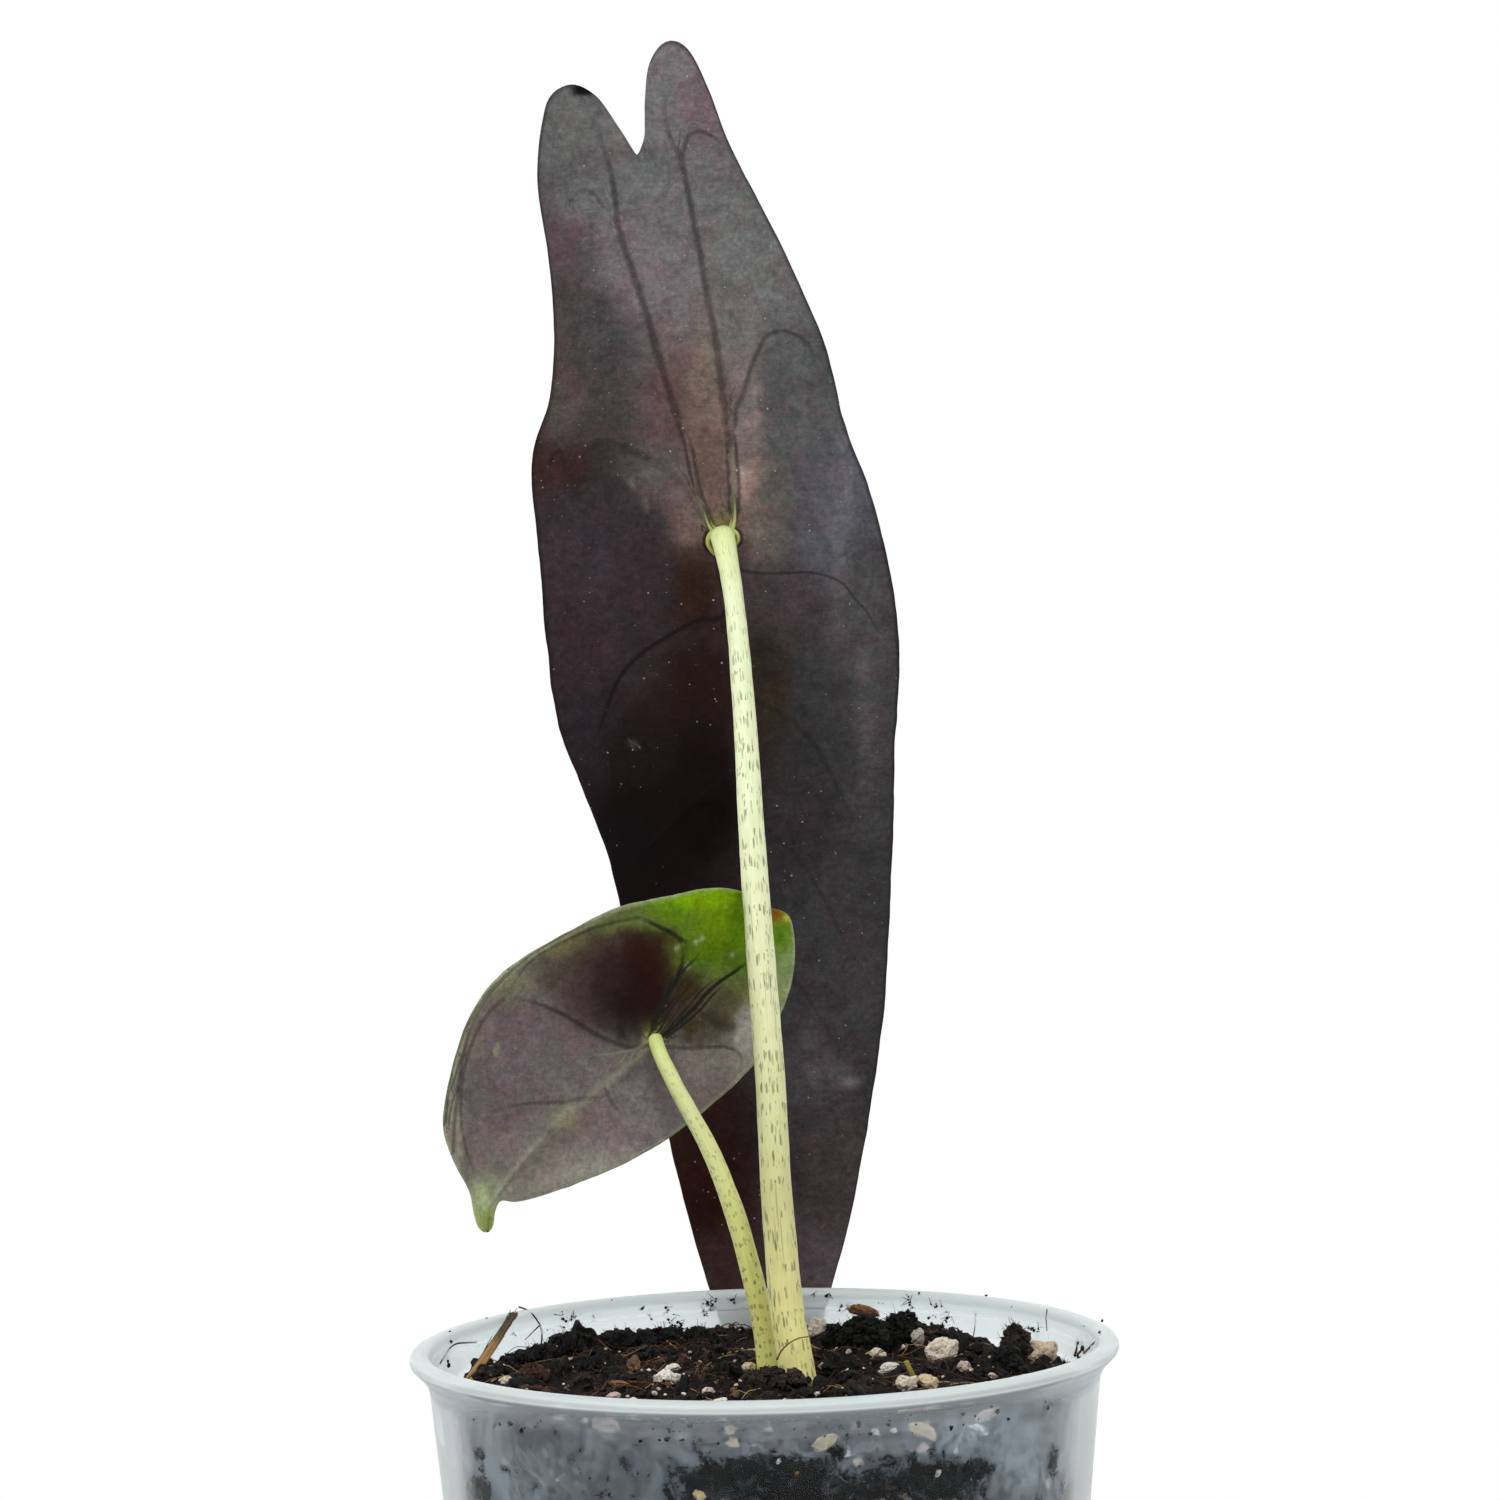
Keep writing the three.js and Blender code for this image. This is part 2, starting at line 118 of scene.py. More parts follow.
def spaced_curve(stations, count):
    """count + 1 points, evenly spaced, on a smooth curve through the stations. Any numbers after x, y
    and z are drawn straight from station to station."""
    stations = np.array(stations, float)
    wide = 3 if stations.shape[1] > 3 else stations.shape[1]
    p = stations[:, :wide]
    ends = np.vstack([2 * p[0] - p[1], p, 2 * p[-1] - p[-2]])
    rows = []
    for i in range(len(p) - 1):
        p0, p1, p2, p3 = ends[i : i + 4]
        d0, d1, d2 = (max(np.linalg.norm(b - a) ** 0.5, 1e-4) for a, b in ((p0, p1), (p1, p2), (p2, p3)))
        m1 = ((p1 - p0) / d0 - (p2 - p0) / (d0 + d1) + (p2 - p1) / d1) * d1
        m2 = ((p2 - p1) / d1 - (p3 - p1) / (d1 + d2) + (p3 - p2) / d2) * d1
        t = np.linspace(0, 1, 40, endpoint=i == len(p) - 2)[:, None]
        curve = p1 + m1 * t + (3 * (p2 - p1) - 2 * m1 - m2) * t**2 + (2 * (p1 - p2) + m1 + m2) * t**3
        rest = stations[i, wide:] * (1 - t) + stations[i + 1, wide:] * t
        rows.append(np.hstack([curve, rest]))
    fine = np.vstack(rows)
    run = np.concatenate([[0], np.cumsum(np.linalg.norm(np.diff(fine[:, :wide], axis=0), axis=1))])
    at = np.linspace(0, run[-1], count + 1)
    return np.stack([np.interp(at, run, fine[:, k]) for k in range(fine.shape[1])], axis=1)


def ring_faces(rings, sides):
    """Faces of a closed skin over rings of points, with a flat face at each end."""
    faces = []
    for k in range(rings - 1):
        for i in range(sides):
            j = (i + 1) % sides
            faces.append([k * sides + i, k * sides + j, (k + 1) * sides + j, (k + 1) * sides + i])
    faces.append(list(range(sides))[::-1])
    faces.append([(rings - 1) * sides + i for i in range(sides)])
    return faces


def tube(stations, sides, count):
    """Points and faces of a tube through stations of x, y, z and radius, and for each face corner its
    place on the skin, rolled flat: millimetres round the tube and along it."""
    line = spaced_curve(stations, count)
    centre, radius = line[:, :3], line[:, 3]
    along = np.gradient(centre, axis=0)
    along /= np.linalg.norm(along, axis=1, keepdims=True)
    normal = np.array([0.1, 1, 0.1])
    turn = np.linspace(0, 2 * math.pi, sides, endpoint=False)
    length = np.concatenate([[0], np.cumsum(np.linalg.norm(np.diff(centre, axis=0), axis=1))])
    girth = 2 * math.pi * radius.mean()
    points, unrolled = [], []
    for k in range(count + 1):
        normal = normal - along[k] * (normal @ along[k])
        normal /= np.linalg.norm(normal)
        other = np.cross(along[k], normal)
        ring = np.outer(np.cos(turn), normal) + np.outer(np.sin(turn), other)
        points.append(centre[k] + radius[k] * ring)
    for low, high in zip(length[:-1], length[1:]):
        for i in range(sides):
            left, right = girth * i / sides, girth * (i + 1) / sides
            unrolled += [(left, low), (right, low), (right, high), (left, high)]
    unrolled += [(girth * i / sides, 0) for i in range(2 * sides)]
    return np.vstack(points), ring_faces(count + 1, sides), unrolled


def ball(levels):
    """Points and triangles of a round ball of radius 1."""
    g = (1 + 5**0.5) / 2
    points = [(-1, g, 0), (1, g, 0), (-1, -g, 0), (1, -g, 0), (0, -1, g), (0, 1, g)]
    points += [(0, -1, -g), (0, 1, -g), (g, 0, -1), (g, 0, 1), (-g, 0, -1), (-g, 0, 1)]
    points = [np.array(p) / np.linalg.norm(p) for p in points]
    faces = [(0, 11, 5), (0, 5, 1), (0, 1, 7), (0, 7, 10), (0, 10, 11), (1, 5, 9), (5, 11, 4)]
    faces += [(11, 10, 2), (10, 7, 6), (7, 1, 8), (3, 9, 4), (3, 4, 2), (3, 2, 6), (3, 6, 8)]
    faces += [(3, 8, 9), (4, 9, 5), (2, 4, 11), (6, 2, 10), (8, 6, 7), (9, 8, 1)]
    for _ in range(levels):
        middles, split = {}, []

        def middle(a, b):
            key = (min(a, b), max(a, b))
            if key not in middles:
                m = points[a] + points[b]
                points.append(m / np.linalg.norm(m))
                middles[key] = len(points) - 1
            return middles[key]

        for a, b, c in faces:
            ab, bc, ca = middle(a, b), middle(b, c), middle(c, a)
            split += [(a, ab, ca), (b, bc, ab), (c, ca, bc), (ab, bc, ca)]
        faces = split
    return np.array(points), np.array(faces)


def turned(count):
    """Random turning matrices (count, 3, 3)."""
    q = rng.normal(size=(count, 4))
    w, x, y, z = (q / np.linalg.norm(q, axis=1, keepdims=True)).T
    rows = [1 - 2 * (y * y + z * z), 2 * (x * y - w * z), 2 * (x * z + w * y)]
    rows += [2 * (x * y + w * z), 1 - 2 * (x * x + z * z), 2 * (y * z - w * x)]
    rows += [2 * (x * z - w * y), 2 * (y * z + w * x), 1 - 2 * (x * x + y * y)]
    return np.stack(rows, -1).reshape(-1, 3, 3)


def lumps(places, sizes, levels, raggedness, seed):
    """Rough lumps: points (n, k, 3) and triangles, one lump for each place, with sizes (n, 3)."""
    shape, faces = ball(levels)
    count = len(places)
    at = shape[None] + 7 * np.arange(count)[:, None, None]
    swell = 1 + raggedness * rough(at.reshape(-1, 3), 0.8, seed, 2).reshape(count, -1, 1)
    body = shape[None] * swell * np.asarray(sizes)[:, None, :]
    body = np.einsum("nij,nkj->nki", turned(count), body)
    points = body + np.asarray(places)[:, None, :]
    triangles = faces[None] + (np.arange(count) * len(shape))[:, None, None]
    return points, triangles.reshape(-1, 3)


def srgb(colour):
    c = np.asarray(colour, float) / 255
    return np.where(c < 0.04045, c / 12.92, ((c + 0.055) / 1.055) ** 2.4)


def blend(start, end, share):
    """From one colour to another, by a share at each point."""
    return srgb(start) * (1 - share) + srgb(end) * share


def joined(parts):
    """One mesh from parts of points, faces and tones."""
    points, faces, tone, first = [], [], [], 0
    for body, body_faces, shade in parts:
        points.append(body)
        faces += [[int(i) + first for i in face] for face in body_faces]
        tone.append(shade)
        first += len(body)
    return np.vstack(points), faces, np.vstack(tone)


def piece(
    name, points, faces, material, tone=None, smooth=True, replaces=(), marks=None, unrolled=None
):
    """A mesh object that rides on the part's one body. Tone is its colour at each point, marks holds
    more colours by name, and unrolled gives each face corner's place on a flattened skin."""
    mesh = bpy.data.meshes.new(name)
    faces = faces.tolist() if isinstance(faces, np.ndarray) else faces
    mesh.from_pydata((np.asarray(points, float) * MM).tolist(), [], faces)
    for one in material if isinstance(material, list) else [material]:
        mesh.materials.append(one)
    marks = dict(marks or {})
    if tone is not None:
        marks["tone"] = np.hstack([tone, np.ones((len(tone), 1))])
    for key, colour in marks.items():
        layer = mesh.color_attributes.new(key, "FLOAT_COLOR", "POINT")
        layer.data.foreach_set("color", colour.astype(np.float32).ravel())
    if unrolled is not None:
        layer = mesh.uv_layers.new(name="unrolled")
        layer.data.foreach_set("uv", np.asarray(unrolled, np.float32).ravel())
    mesh.polygons.foreach_set("use_smooth", [smooth] * len(mesh.polygons))
    mesh.update()
    made = bpy.data.objects.new(name, mesh)
    bpy.context.scene.collection.objects.link(made)
    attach(made, "root")
    if replaces:
        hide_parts(*replaces)
    return made


def threads(name, lines, look, sides=5, replaces=(), steps=3):
    """Thin round threads in one piece. Each is [places, thick radius, thin radius, colour, end colour]."""
    parts = []
    for places, thick, thin, colour, end_colour in lines:
        places = np.asarray(places, float)
        taper = np.linspace(thick, thin, len(places))[:, None]
        body, quads, _ = tube(np.hstack([places, taper]), sides, steps * len(places))
        share = np.linspace(0, 1, len(body))[:, None]
        parts.append((body, quads, blend(colour, end_colour, share)))
    points, faces, tone = joined(parts)
    piece(name, points, faces, look, tone, replaces=replaces)


# Materials


class Look:
    """A material whose nodes are added one by one."""

    def __init__(self, name):
        self.material = bpy.data.materials.new(name)
        self.material.use_nodes = True
        self.tree = self.material.node_tree
        self.shader = self.tree.nodes["Principled BSDF"]
        self.output = self.tree.nodes["Material Output"]

    def add(self, kind, values=None, **settings):
        node = self.tree.nodes.new("ShaderNode" + kind)
        for key, value in settings.items():
            setattr(node, key, value)
        for key, value in (values or {}).items():
            if isinstance(value, bpy.types.NodeSocket):
                self.tree.links.new(value, node.inputs[key])
            else:
                node.inputs[key].default_value = value
        return node

    def set(self, **values):
        for key, value in values.items():
            name = key.replace("_", " ")
            if isinstance(value, bpy.types.NodeSocket):
                self.tree.links.new(value, self.shader.inputs[name])
            else:
                self.shader.inputs[name].default_value = value

    def place(self, scale=(1, 1, 1), unrolled=False):
        """Coordinates in millimetres, stretched by a scale, in space or on a skin rolled flat."""
        if unrolled:
            source = self.add("UVMap", uv_map="unrolled").outputs["UV"]
        else:
            source = self.add("TexCoord").outputs["Object"]
            scale = [1000 * k for k in scale]
        return self.add("Mapping", {"Vector": source, "Scale": scale}).outputs["Vector"]

    def noise(self, vector, size, detail=3, roughness=0.55, distortion=0.0):
        values = {"Vector": vector, "Scale": 1 / size, "Detail": detail}
        values |= {"Roughness": roughness, "Distortion": distortion}
        return self.add("TexNoise", values).outputs["Fac"]

    def cells(self, vector, size):
        return self.add("TexVoronoi", {"Vector": vector, "Scale": 1 / size})

    def fit(self, value, low, high, to_low=0.0, to_high=1.0):
        values = {"Value": value, "From Min": low, "From Max": high}
        values |= {"To Min": to_low, "To Max": to_high}
        return self.add("MapRange", values).outputs["Result"]

    def math(self, kind, a, b=0.0):
        node = self.add("Math", operation=kind)
        for socket, value in zip(node.inputs, (a, b)):
            if isinstance(value, bpy.types.NodeSocket):
                self.tree.links.new(value, socket)
            else:
                socket.default_value = value
        return node.outputs[0]

    def times(self, a, b):
        return self.math("MULTIPLY", a, b)

    def plus(self, a, b):
        return self.math("ADD", a, b)

    def most(self, a, b):
        return self.math("MAXIMUM", a, b)

    def mix(self, factor, a, b, kind="MIX"):
        node = self.add("Mix", data_type="RGBA", blend_type=kind)
        for index, value in ((0, factor), (6, a), (7, b)):
            if isinstance(value, bpy.types.NodeSocket):
                self.tree.links.new(value, node.inputs[index])
            else:
                node.inputs[index].default_value = (*value, 1) if index else value
        return node.outputs[2]

    def bump(self, height, distance, strength=1.0):
        """Raised by a height from 0 to 1, times a distance in millimetres."""
        values = {"Height": height, "Distance": distance * MM, "Strength": strength}
        self.set(Normal=self.add("Bump", values).outputs["Normal"])

    def tone(self):
        return self.add("Attribute", attribute_name="tone").outputs["Color"]

    def channels(self, colour):
        return self.add("SeparateColor", {0: colour}).outputs

    def axes(self, vector):
        return self.add("SeparateXYZ", {0: vector}).outputs

    def shaded(self, colour, shade):
        grey = self.add("CombineColor", {0: shade, 1: shade, 2: shade}).outputs[0]
        return self.mix(1.0, colour, grey, "MULTIPLY")


def vein_share(look, name):
    """How much of a vein line lies at a point, from what veined() wrote, and its darkness."""
    read = look.add("Attribute", attribute_name=name)
    parts = look.channels(read.outputs["Color"])
    share = look.math("DIVIDE", look.math("ABSOLUTE", parts[0]), read.outputs["Alpha"])
    ragged = look.fit(look.noise(look.place(), 1.0, 4, 0.7), 0.3, 0.7, 0.72, 1.3)
    share = look.times(share, ragged)
    return look.times(look.fit(share, 1.3, 0.4), look.fit(parts[1], 1.5, 1.3)), parts[2]


def leaf_look(name, roughness, level, mottle, specks, dark, pale):
    look = Look(name)
    place = look.place()
    blotch = look.noise(place, 3.4, 6, 0.66, 0.6)
    tint = look.noise(place, 5.5, 5, 0.64, 1.2)
    grain = look.noise(place, 0.75, 4, 0.75, 0.4)
    fold = look.math("ABSOLUTE", look.math("SUBTRACT", look.noise(place, 2.6, 4, 0.62, 1.6), 0.5))
    stroke = look.noise(look.place((0.3, 0.3, 1.5)), 0.55, 4, 0.7, 0.6)
    shade = look.fit(blotch, 0.32, 0.68, 1 - 1.3 * mottle, 1 + 1.4 * mottle)
    shade = look.times(shade, look.fit(grain, 0.3, 0.7, 0.74, 1.26))
    shade = look.times(shade, look.fit(stroke, 0.3, 0.7, 0.86, 1.14))
    # Darker along the fold lines, which the bump sinks as grooves: painted shade in these creases.
    shade = look.times(shade, look.fit(fold, 0.0, 0.1, 1 - 0.6 * mottle, 1 + 0.25 * mottle))
    colour = look.shaded(look.tone(), shade)
    colour = look.mix(look.fit(tint, 0.5, 0.56, 0, mottle * 3), colour, (1.08, 0.9, 0.95), "MULTIPLY")
    colour = look.mix(look.fit(tint, 0.49, 0.43, 0, mottle * 3), colour, (0.94, 1.02, 1.0), "MULTIPLY")
    ripple = look.plus(look.times(look.noise(place, 1.3, 3, 0.6), 0.5), fold)
    ripple = look.plus(ripple, look.times(grain, 0.4))
    for key in ("veins", "veinlets"):
        line, strength = vein_share(look, key)
        darker = look.times(line, look.most(strength, 0.0))
        paler = look.times(line, look.most(look.times(strength, -1.0), 0.0))
        colour = look.mix(darker, colour, dark)
        colour = look.mix(paler, colour, pale)
        ripple = look.plus(ripple, look.times(darker, -0.7))
    cell = look.cells(place, 0.9)
    picked = look.channels(cell.outputs["Color"])
    reach = look.fit(picked[0], 0.4, 1.0, 0.0, 0.2)
    speck = look.fit(look.math("SUBTRACT", cell.outputs["Distance"], reach), 0.0, -0.05)
    keep = look.fit(look.noise(place, 15, 4), 0.4, 0.52)
    keep = look.times(keep, look.fit(picked[1], 0.3, 0.9, 0.1, 1.0))
    speck = look.times(speck, look.times(keep, specks))
    colour = look.mix(speck, colour, (0.36, 0.34, 0.34))
    look.set(Base_Color=colour, Specular_IOR_Level=level)
    look.set(Roughness=look.fit(blotch, 0.3, 0.7, roughness - 0.06, roughness + 0.08))
    look.bump(ripple, 0.16, 0.6)
    return look.material


def stalk_look(name, dash_wide, dash_long, rows_apart, dark, most, clean_z):
    """Fleshy skin with rows of short dark dashes, that thin out toward clean_z, and long fine streaks."""
    look = Look(name)
    flat = look.place(unrolled=True)
    height = look.axes(look.place())[2]
    streak = look.noise(look.place((1, 0.06, 1), True), 0.3, 3, 0.6)
    cloud = look.noise(look.place((1, 0.5, 1), True), 2.2, 3, 0.6)
    colour = look.mix(look.fit(streak, 0.35, 0.7, 0, 0.26), look.tone(), (0.62, 0.64, 0.42), "MULTIPLY")
    colour = look.mix(look.fit(cloud, 0.5, 0.75, 0, 0.3), colour, (0.7, 0.7, 0.45), "MULTIPLY")
    along = look.axes(flat)[1]
    wobble = look.times(look.noise(look.place((0.4, 1, 1), True), 4.0, 2), 9.0)
    row = look.math("SINE", look.plus(look.times(along, 2 * math.pi / rows_apart), wobble))
    bent = look.times(look.noise(look.place((1, 1, 1), True), 1.1, 2), 0.5)
    cells = look.add("Mapping", {"Vector": look.place((1 / dash_wide, 1 / dash_long, 1), True)})
    look.tree.links.new(look.add("CombineXYZ", {0: bent, 1: bent}).outputs[0], cells.inputs["Location"])
    cell = look.cells(cells.outputs[0], 1.0)
    dash = look.fit(cell.outputs["Distance"], 0.46, 0.3)
    chosen = look.channels(cell.outputs["Color"])
    bar = look.fit(look.plus(row, look.times(chosen[0], 1.7)), 0.45, 0.8)
    faint = look.fit(chosen[1], 0, 1, 0.4, 1)
    dash = look.times(look.times(dash, bar), faint)
    dash = look.times(dash, look.fit(height, clean_z, clean_z - 32, 0.12 * most, most))
    colour = look.mix(dash, colour, dark)
    line = look.cells(look.place((2.8, 0.07, 1), True), 1.0)
    picked = look.channels(line.outputs["Color"])[0]
    thin = look.times(look.fit(line.outputs["Distance"], 0.32, 0.12), look.fit(picked, 0.3, 0.7, 0, 0.55))
    thin = look.times(thin, look.fit(height, clean_z - 20, clean_z - 60))
    colour = look.mix(thin, colour, dark)
    look.set(Base_Color=colour, Roughness=look.fit(streak, 0.3, 0.7, 0.4, 0.54), Specular_IOR_Level=0.35)
    look.set(Subsurface_Weight=0.1, Subsurface_Radius=(0.6, 0.8, 0.3), Subsurface_Scale=0.001)
    look.bump(look.plus(look.times(streak, 0.7), look.times(cloud, 0.5)), 0.1, 0.5)
    return look.material


def earthy_look(name, size, contrast, height, roughness=0.9):
    look = Look(name)
    place = look.place()
    grain = look.noise(place, size, 5, 0.7, 0.3)
    shade = look.fit(grain, 0.3, 0.7, 1 - contrast, 1 + contrast)
    colour = look.shaded(look.tone(), shade)
    look.set(Base_Color=colour, Roughness=roughness, Specular_IOR_Level=0.25)
    look.bump(grain, height)
    return look.material


def skin_look(name, dark, light):
    """A corky brown skin with rings across it."""
    look = Look(name)
    place = look.place((0.5, 0.5, 2.2))
    rings = look.noise(place, 2.2, 5, 0.6, 0.4)
    colour = look.mix(look.fit(rings, 0.35, 0.65), dark, light)
    look.set(Base_Color=colour, Roughness=0.8, Specular_IOR_Level=0.3)
    look.bump(rings, 0.3)
    return look.material


def perlite_look():
    look = Look("perlite")
    place = look.place()
    pits = look.cells(place, 0.5).outputs["Distance"]
    dirt = look.noise(place, 0.8, 5, 0.7, 0.6)
    colour = look.mix(look.fit(dirt, 0.52, 0.66, 0, 0.8), look.tone(), (0.2, 0.13, 0.08))
    colour = look.mix(look.fit(pits, 0.34, 0.08, 0, 0.75), colour, (0.24, 0.16, 0.11))
    look.set(Base_Color=colour, Roughness=0.8, Specular_IOR_Level=0.3)
    look.bump(look.plus(pits, look.times(dirt, 0.7)), 0.25)
    return look.material


RIM_BAND = 78.4  # the height at which the rim's front band starts


def frosted_look(name, inner):
    """Cloudy clear plastic: a share of it is white and matt, and the rest lets light through. The rim
    and the dry wall over the mix are cloudier. Where the wet mix touches the wall it is clear."""
    look = Look(name)
    place = look.place()
    _, y, z = look.axes(place)
    look.set(Base_Color=(0.9, 0.95, 0.985, 1), IOR=1.12, Transmission_Weight=1.0)
    look.bump(look.noise(look.place((1, 1, 0.24)), 5.0, 2), 0.04, 0.3)
    middle = look.math("ABSOLUTE", look.math("SUBTRACT", z, RIM_BAND + 0.75))
    clearer = look.fit(middle, 0.32, 0.12, 0.0, 0.15)
    rim = look.math("SUBTRACT", look.fit(z, RIM_BAND + 0.1, RIM_BAND + 0.35, 0, 0.72), clearer)
    # How far toward the back. The matt colour is painted whiter there, as if lit from behind; this also
    # sets haze and translucency.
    back = look.fit(y, -30, 12)
    level = 74.4 if inner else 77.0
    haze = look.fit(z, RIM_BAND, RIM_BAND + 0.4, 0.62, 0.8)
    above = look.times(look.fit(z, level, level + 0.6), look.times(back, haze))
    grazing = look.add("LayerWeight", {"Blend": 0.5}).outputs["Facing"]
    edge = look.times(look.fit(grazing, 0.57, 0.7), look.fit(z, RIM_BAND, RIM_BAND - 1, 0, 0.5))
    if inner:
        # The inner face's matt colour: bluish grey at the front, painted whiter at the back as if lit from
        # behind.
        white = look.mix(back, (0.76, 0.85, 0.93), (0.92, 0.97, 0.955))
        touch, mist_and_edge_sheen = look.channels(look.tone())[:2]
        fluff = look.times(look.noise(place, 2.4, 7, 0.78, 0.5), 2.4)
        touch = look.plus(touch, look.plus(look.noise(place, 6, 3, 0.6, 0.6), fluff))
        mottle = look.fit(look.noise(place, 1.8, 3, 0.6, 0.8), 0.5, 0.7, 0.0, 0.3)
        dry = look.most(look.fit(touch, 2.4, 1.98), mottle)
        cloud = look.fit(look.noise(place, 4.5, 3, 0.6, 0.8), 0.38, 0.62, 0.1, 0.24)
        cloud = look.plus(cloud, look.fit(look.noise(place, 1.3, 3, 0.65, 0.5), 0.36, 0.64, -0.06, 0.07))
        # The wall's marked cloudiness, with painted sheen at its left and right edges, adds to the haze
        # where the wall is dry.
        dry = look.times(dry, look.plus(cloud, mist_and_edge_sheen))
        look.set(Roughness=look.fit(dry, 0.0, 0.08, 0.04, 0.34))
        factor = look.most(look.most(dry, above), rim)
    else:
        # The outer face's matt colour: painted slate grey on the front of the band under the rim as shade,
        # white at the back and lower down.
        pale = look.most(back, look.fit(z, RIM_BAND - 1.9, RIM_BAND - 3.9))
        front_shade_slate = look.mix(pale, (0.29, 0.33, 0.345), (0.88, 0.93, 0.92))
        white = look.mix(look.fit(z, RIM_BAND + 0.05, RIM_BAND + 0.35), front_shade_slate, (0.735, 0.8, 0.79))
        look.set(Roughness=0.08)
        slant = look.fit(z, RIM_BAND + 0.3, RIM_BAND - 3.4, 0.55, 0.0)
        factor = look.most(look.most(rim, slant), look.most(above, 0.004))
    matt = look.add("BsdfPrincipled", {"Base Color": white, "Roughness": 0.4})
    through = look.add("BsdfTranslucent", {"Color": white})
    lit = look.times(back, look.fit(z, RIM_BAND + 0.5, RIM_BAND + 0.9, 0.8, 0.12))
    cloudy = look.add("MixShader", {0: lit, 1: matt.outputs[0], 2: through.outputs[0]})
    factor = look.math("MINIMUM", look.plus(factor, edge), 0.85)
    mixed = look.add("MixShader", {0: factor, 1: look.shader.outputs[0], 2: cloudy.outputs[0]})
    look.tree.links.new(mixed.outputs[0], look.output.inputs["Surface"])
    return look.material


LEAF_UNDER = leaf_look("large_leaf_under", 0.46, 0.07, 0.2, 0.8, (0.007, 0.004, 0.005), (0.17, 0.17, 0.08))
LEAF_UPPER = leaf_look("leaf_upper", 0.34, 0.4, 0.1, 0.1, (0.36, 0.42, 0.31), (0.36, 0.42, 0.31))
SMALL_UNDER = leaf_look("small_leaf_under", 0.46, 0.07, 0.15, 0.5, (0.01, 0.01, 0.006), (0.25, 0.25, 0.16))
LARGE_SKIN = stalk_look("large_stalk_skin", 0.34, 2.3, 3.3, (0.17, 0.16, 0.08), 0.95, 192)
SMALL_SKIN = stalk_look("small_stalk_skin", 0.45, 0.9, 1.7, (0.2, 0.21, 0.06), 0.9, 122)
COLLAR_SKIN = stalk_look("collar_skin", 0.3, 0.5, 9.0, (0.25, 0.22, 0.08), 0.2, 400)
MIX = earthy_look("potting_mix", 0.8, 0.55, 0.5)
CRUMB = earthy_look("mix_crumb", 0.35, 0.6, 0.25, 0.7)
BARK = earthy_look("bark", 0.5, 0.4, 0.2, 0.8)
FIBRE = earthy_look("fibre", 0.7, 0.3, 0.05, 0.75)
STRAW = earthy_look("straw", 0.3, 0.35, 0.08, 0.6)
RHIZOME = skin_look("rhizome_skin", (0.16, 0.1, 0.06), (0.34, 0.24, 0.15))
PERLITE = perlite_look()

# Leaf blades: each point of a plan is [across, up] from the foot where the stalk joins the blade

LARGE_LEAF = {
    "foot": (-3.1, 37.6, 185.8),
    "across": (1, 0, 0),
    "notch": (-10.3, 50.4),
    "tip": (5.5, -141),
    "left": [
        (-12.8, 54.4), (-15.9, 58.6), (-18.9, 60), (-21.8, 58.6), (-23.3, 54.5), (-24.1, 47.4), (-23.1, 38),
        (-22.5, 28), (-23.4, 18.4), (-25.8, 11.9), (-26.3, 7.5), (-25.6, -3), (-24.8, -16), (-23.6, -26.5),
        (-20.4, -36), (-17, -46), (-14.6, -58), (-11.9, -73.9), (-8.2, -92), (-4.7, -105.8), (-1.2, -117.5),
        (2, -130),
    ],
    "midrib": [(-6.5, 32), (-3, 15), (0, 0), (1.2, -30), (2.6, -70), (4, -105)],
    "right": [
        (-9.3, 53), (-9.1, 57.5), (-8.3, 62.5), (-6.6, 64.9), (-5, 65.38), (-3.2, 64.4), (-0.4, 59),
        (2.4, 51.4), (7.2, 42), (12, 32), (15.2, 23.7), (17.2, 14.2), (20.8, 3.8), (23.1, -6), (24.3, -17),
        (23.4, -30), (22.9, -42), (22.2, -55), (21, -68), (18.8, -82), (15.6, -97.5), (12.6, -107.5),
        (9.7, -118), (7.3, -130),
    ],
}
SMALL_LEAF = {
    "foot": (-13.2, 9.8, 117.9),
    "across": (0.857, 0.515, 0),
    "notch": (16.9, 16.3),
    "tip": (-24.8, -22.9),
    "left": [
        (14.8, 18.1), (10.1, 19.2), (2.3, 18.4), (-5, 17.2), (-12.3, 14.5), (-18.5, 11.7), (-23.9, 8),
        (-27.6, 2.6), (-29.9, -4), (-30.6, -9.2), (-29.3, -13.4), (-27.1, -17.6), (-26.6, -20.2),
        (-25.9, -22.1),
    ],
    "midrib": [(7, 7.5), (0, 0), (-8, -7), (-17.5, -12.6), (-23.6, -17.4)],
    "right": [
        (18.6, 16.1), (20.8, 15), (21.6, 11.3), (21, 6.3), (19, 1.8), (15.2, -4), (10.2, -7.9),
        (1.8, -12.9), (-5.5, -16), (-13.9, -18.3), (-20.6, -19.3), (-22.9, -19),
        (-23.6, -20.2), (-24, -22.1),
    ],
}


def large_arch(b):
    """How far the large blade's middle lies behind its foot, at a height over the foot."""
    return 12.9 - 21.5 * (np.maximum(b + 141, 0) / 207) ** 1.35


def large_depth(a, b, side):
    out = np.abs(side)
    widest = np.minimum(1, np.minimum((b + 141) / 90, (62 - b) / 30))
    fold = 4.2 * np.maximum(widest, 0) * out**1.5
    wave = 1.2 * out**2 * widest * np.sin(2 * math.pi * b / 41 + np.where(side < 0, 1.2, 3.6))
    return large_arch(b) + fold + wave


def small_depth(a, b, side):
    out = np.abs(side)
    return -1.3 * out**2 - 0.0012 * (a * a + b * b) + 0.5 * out * np.sin((a + b) / 6)


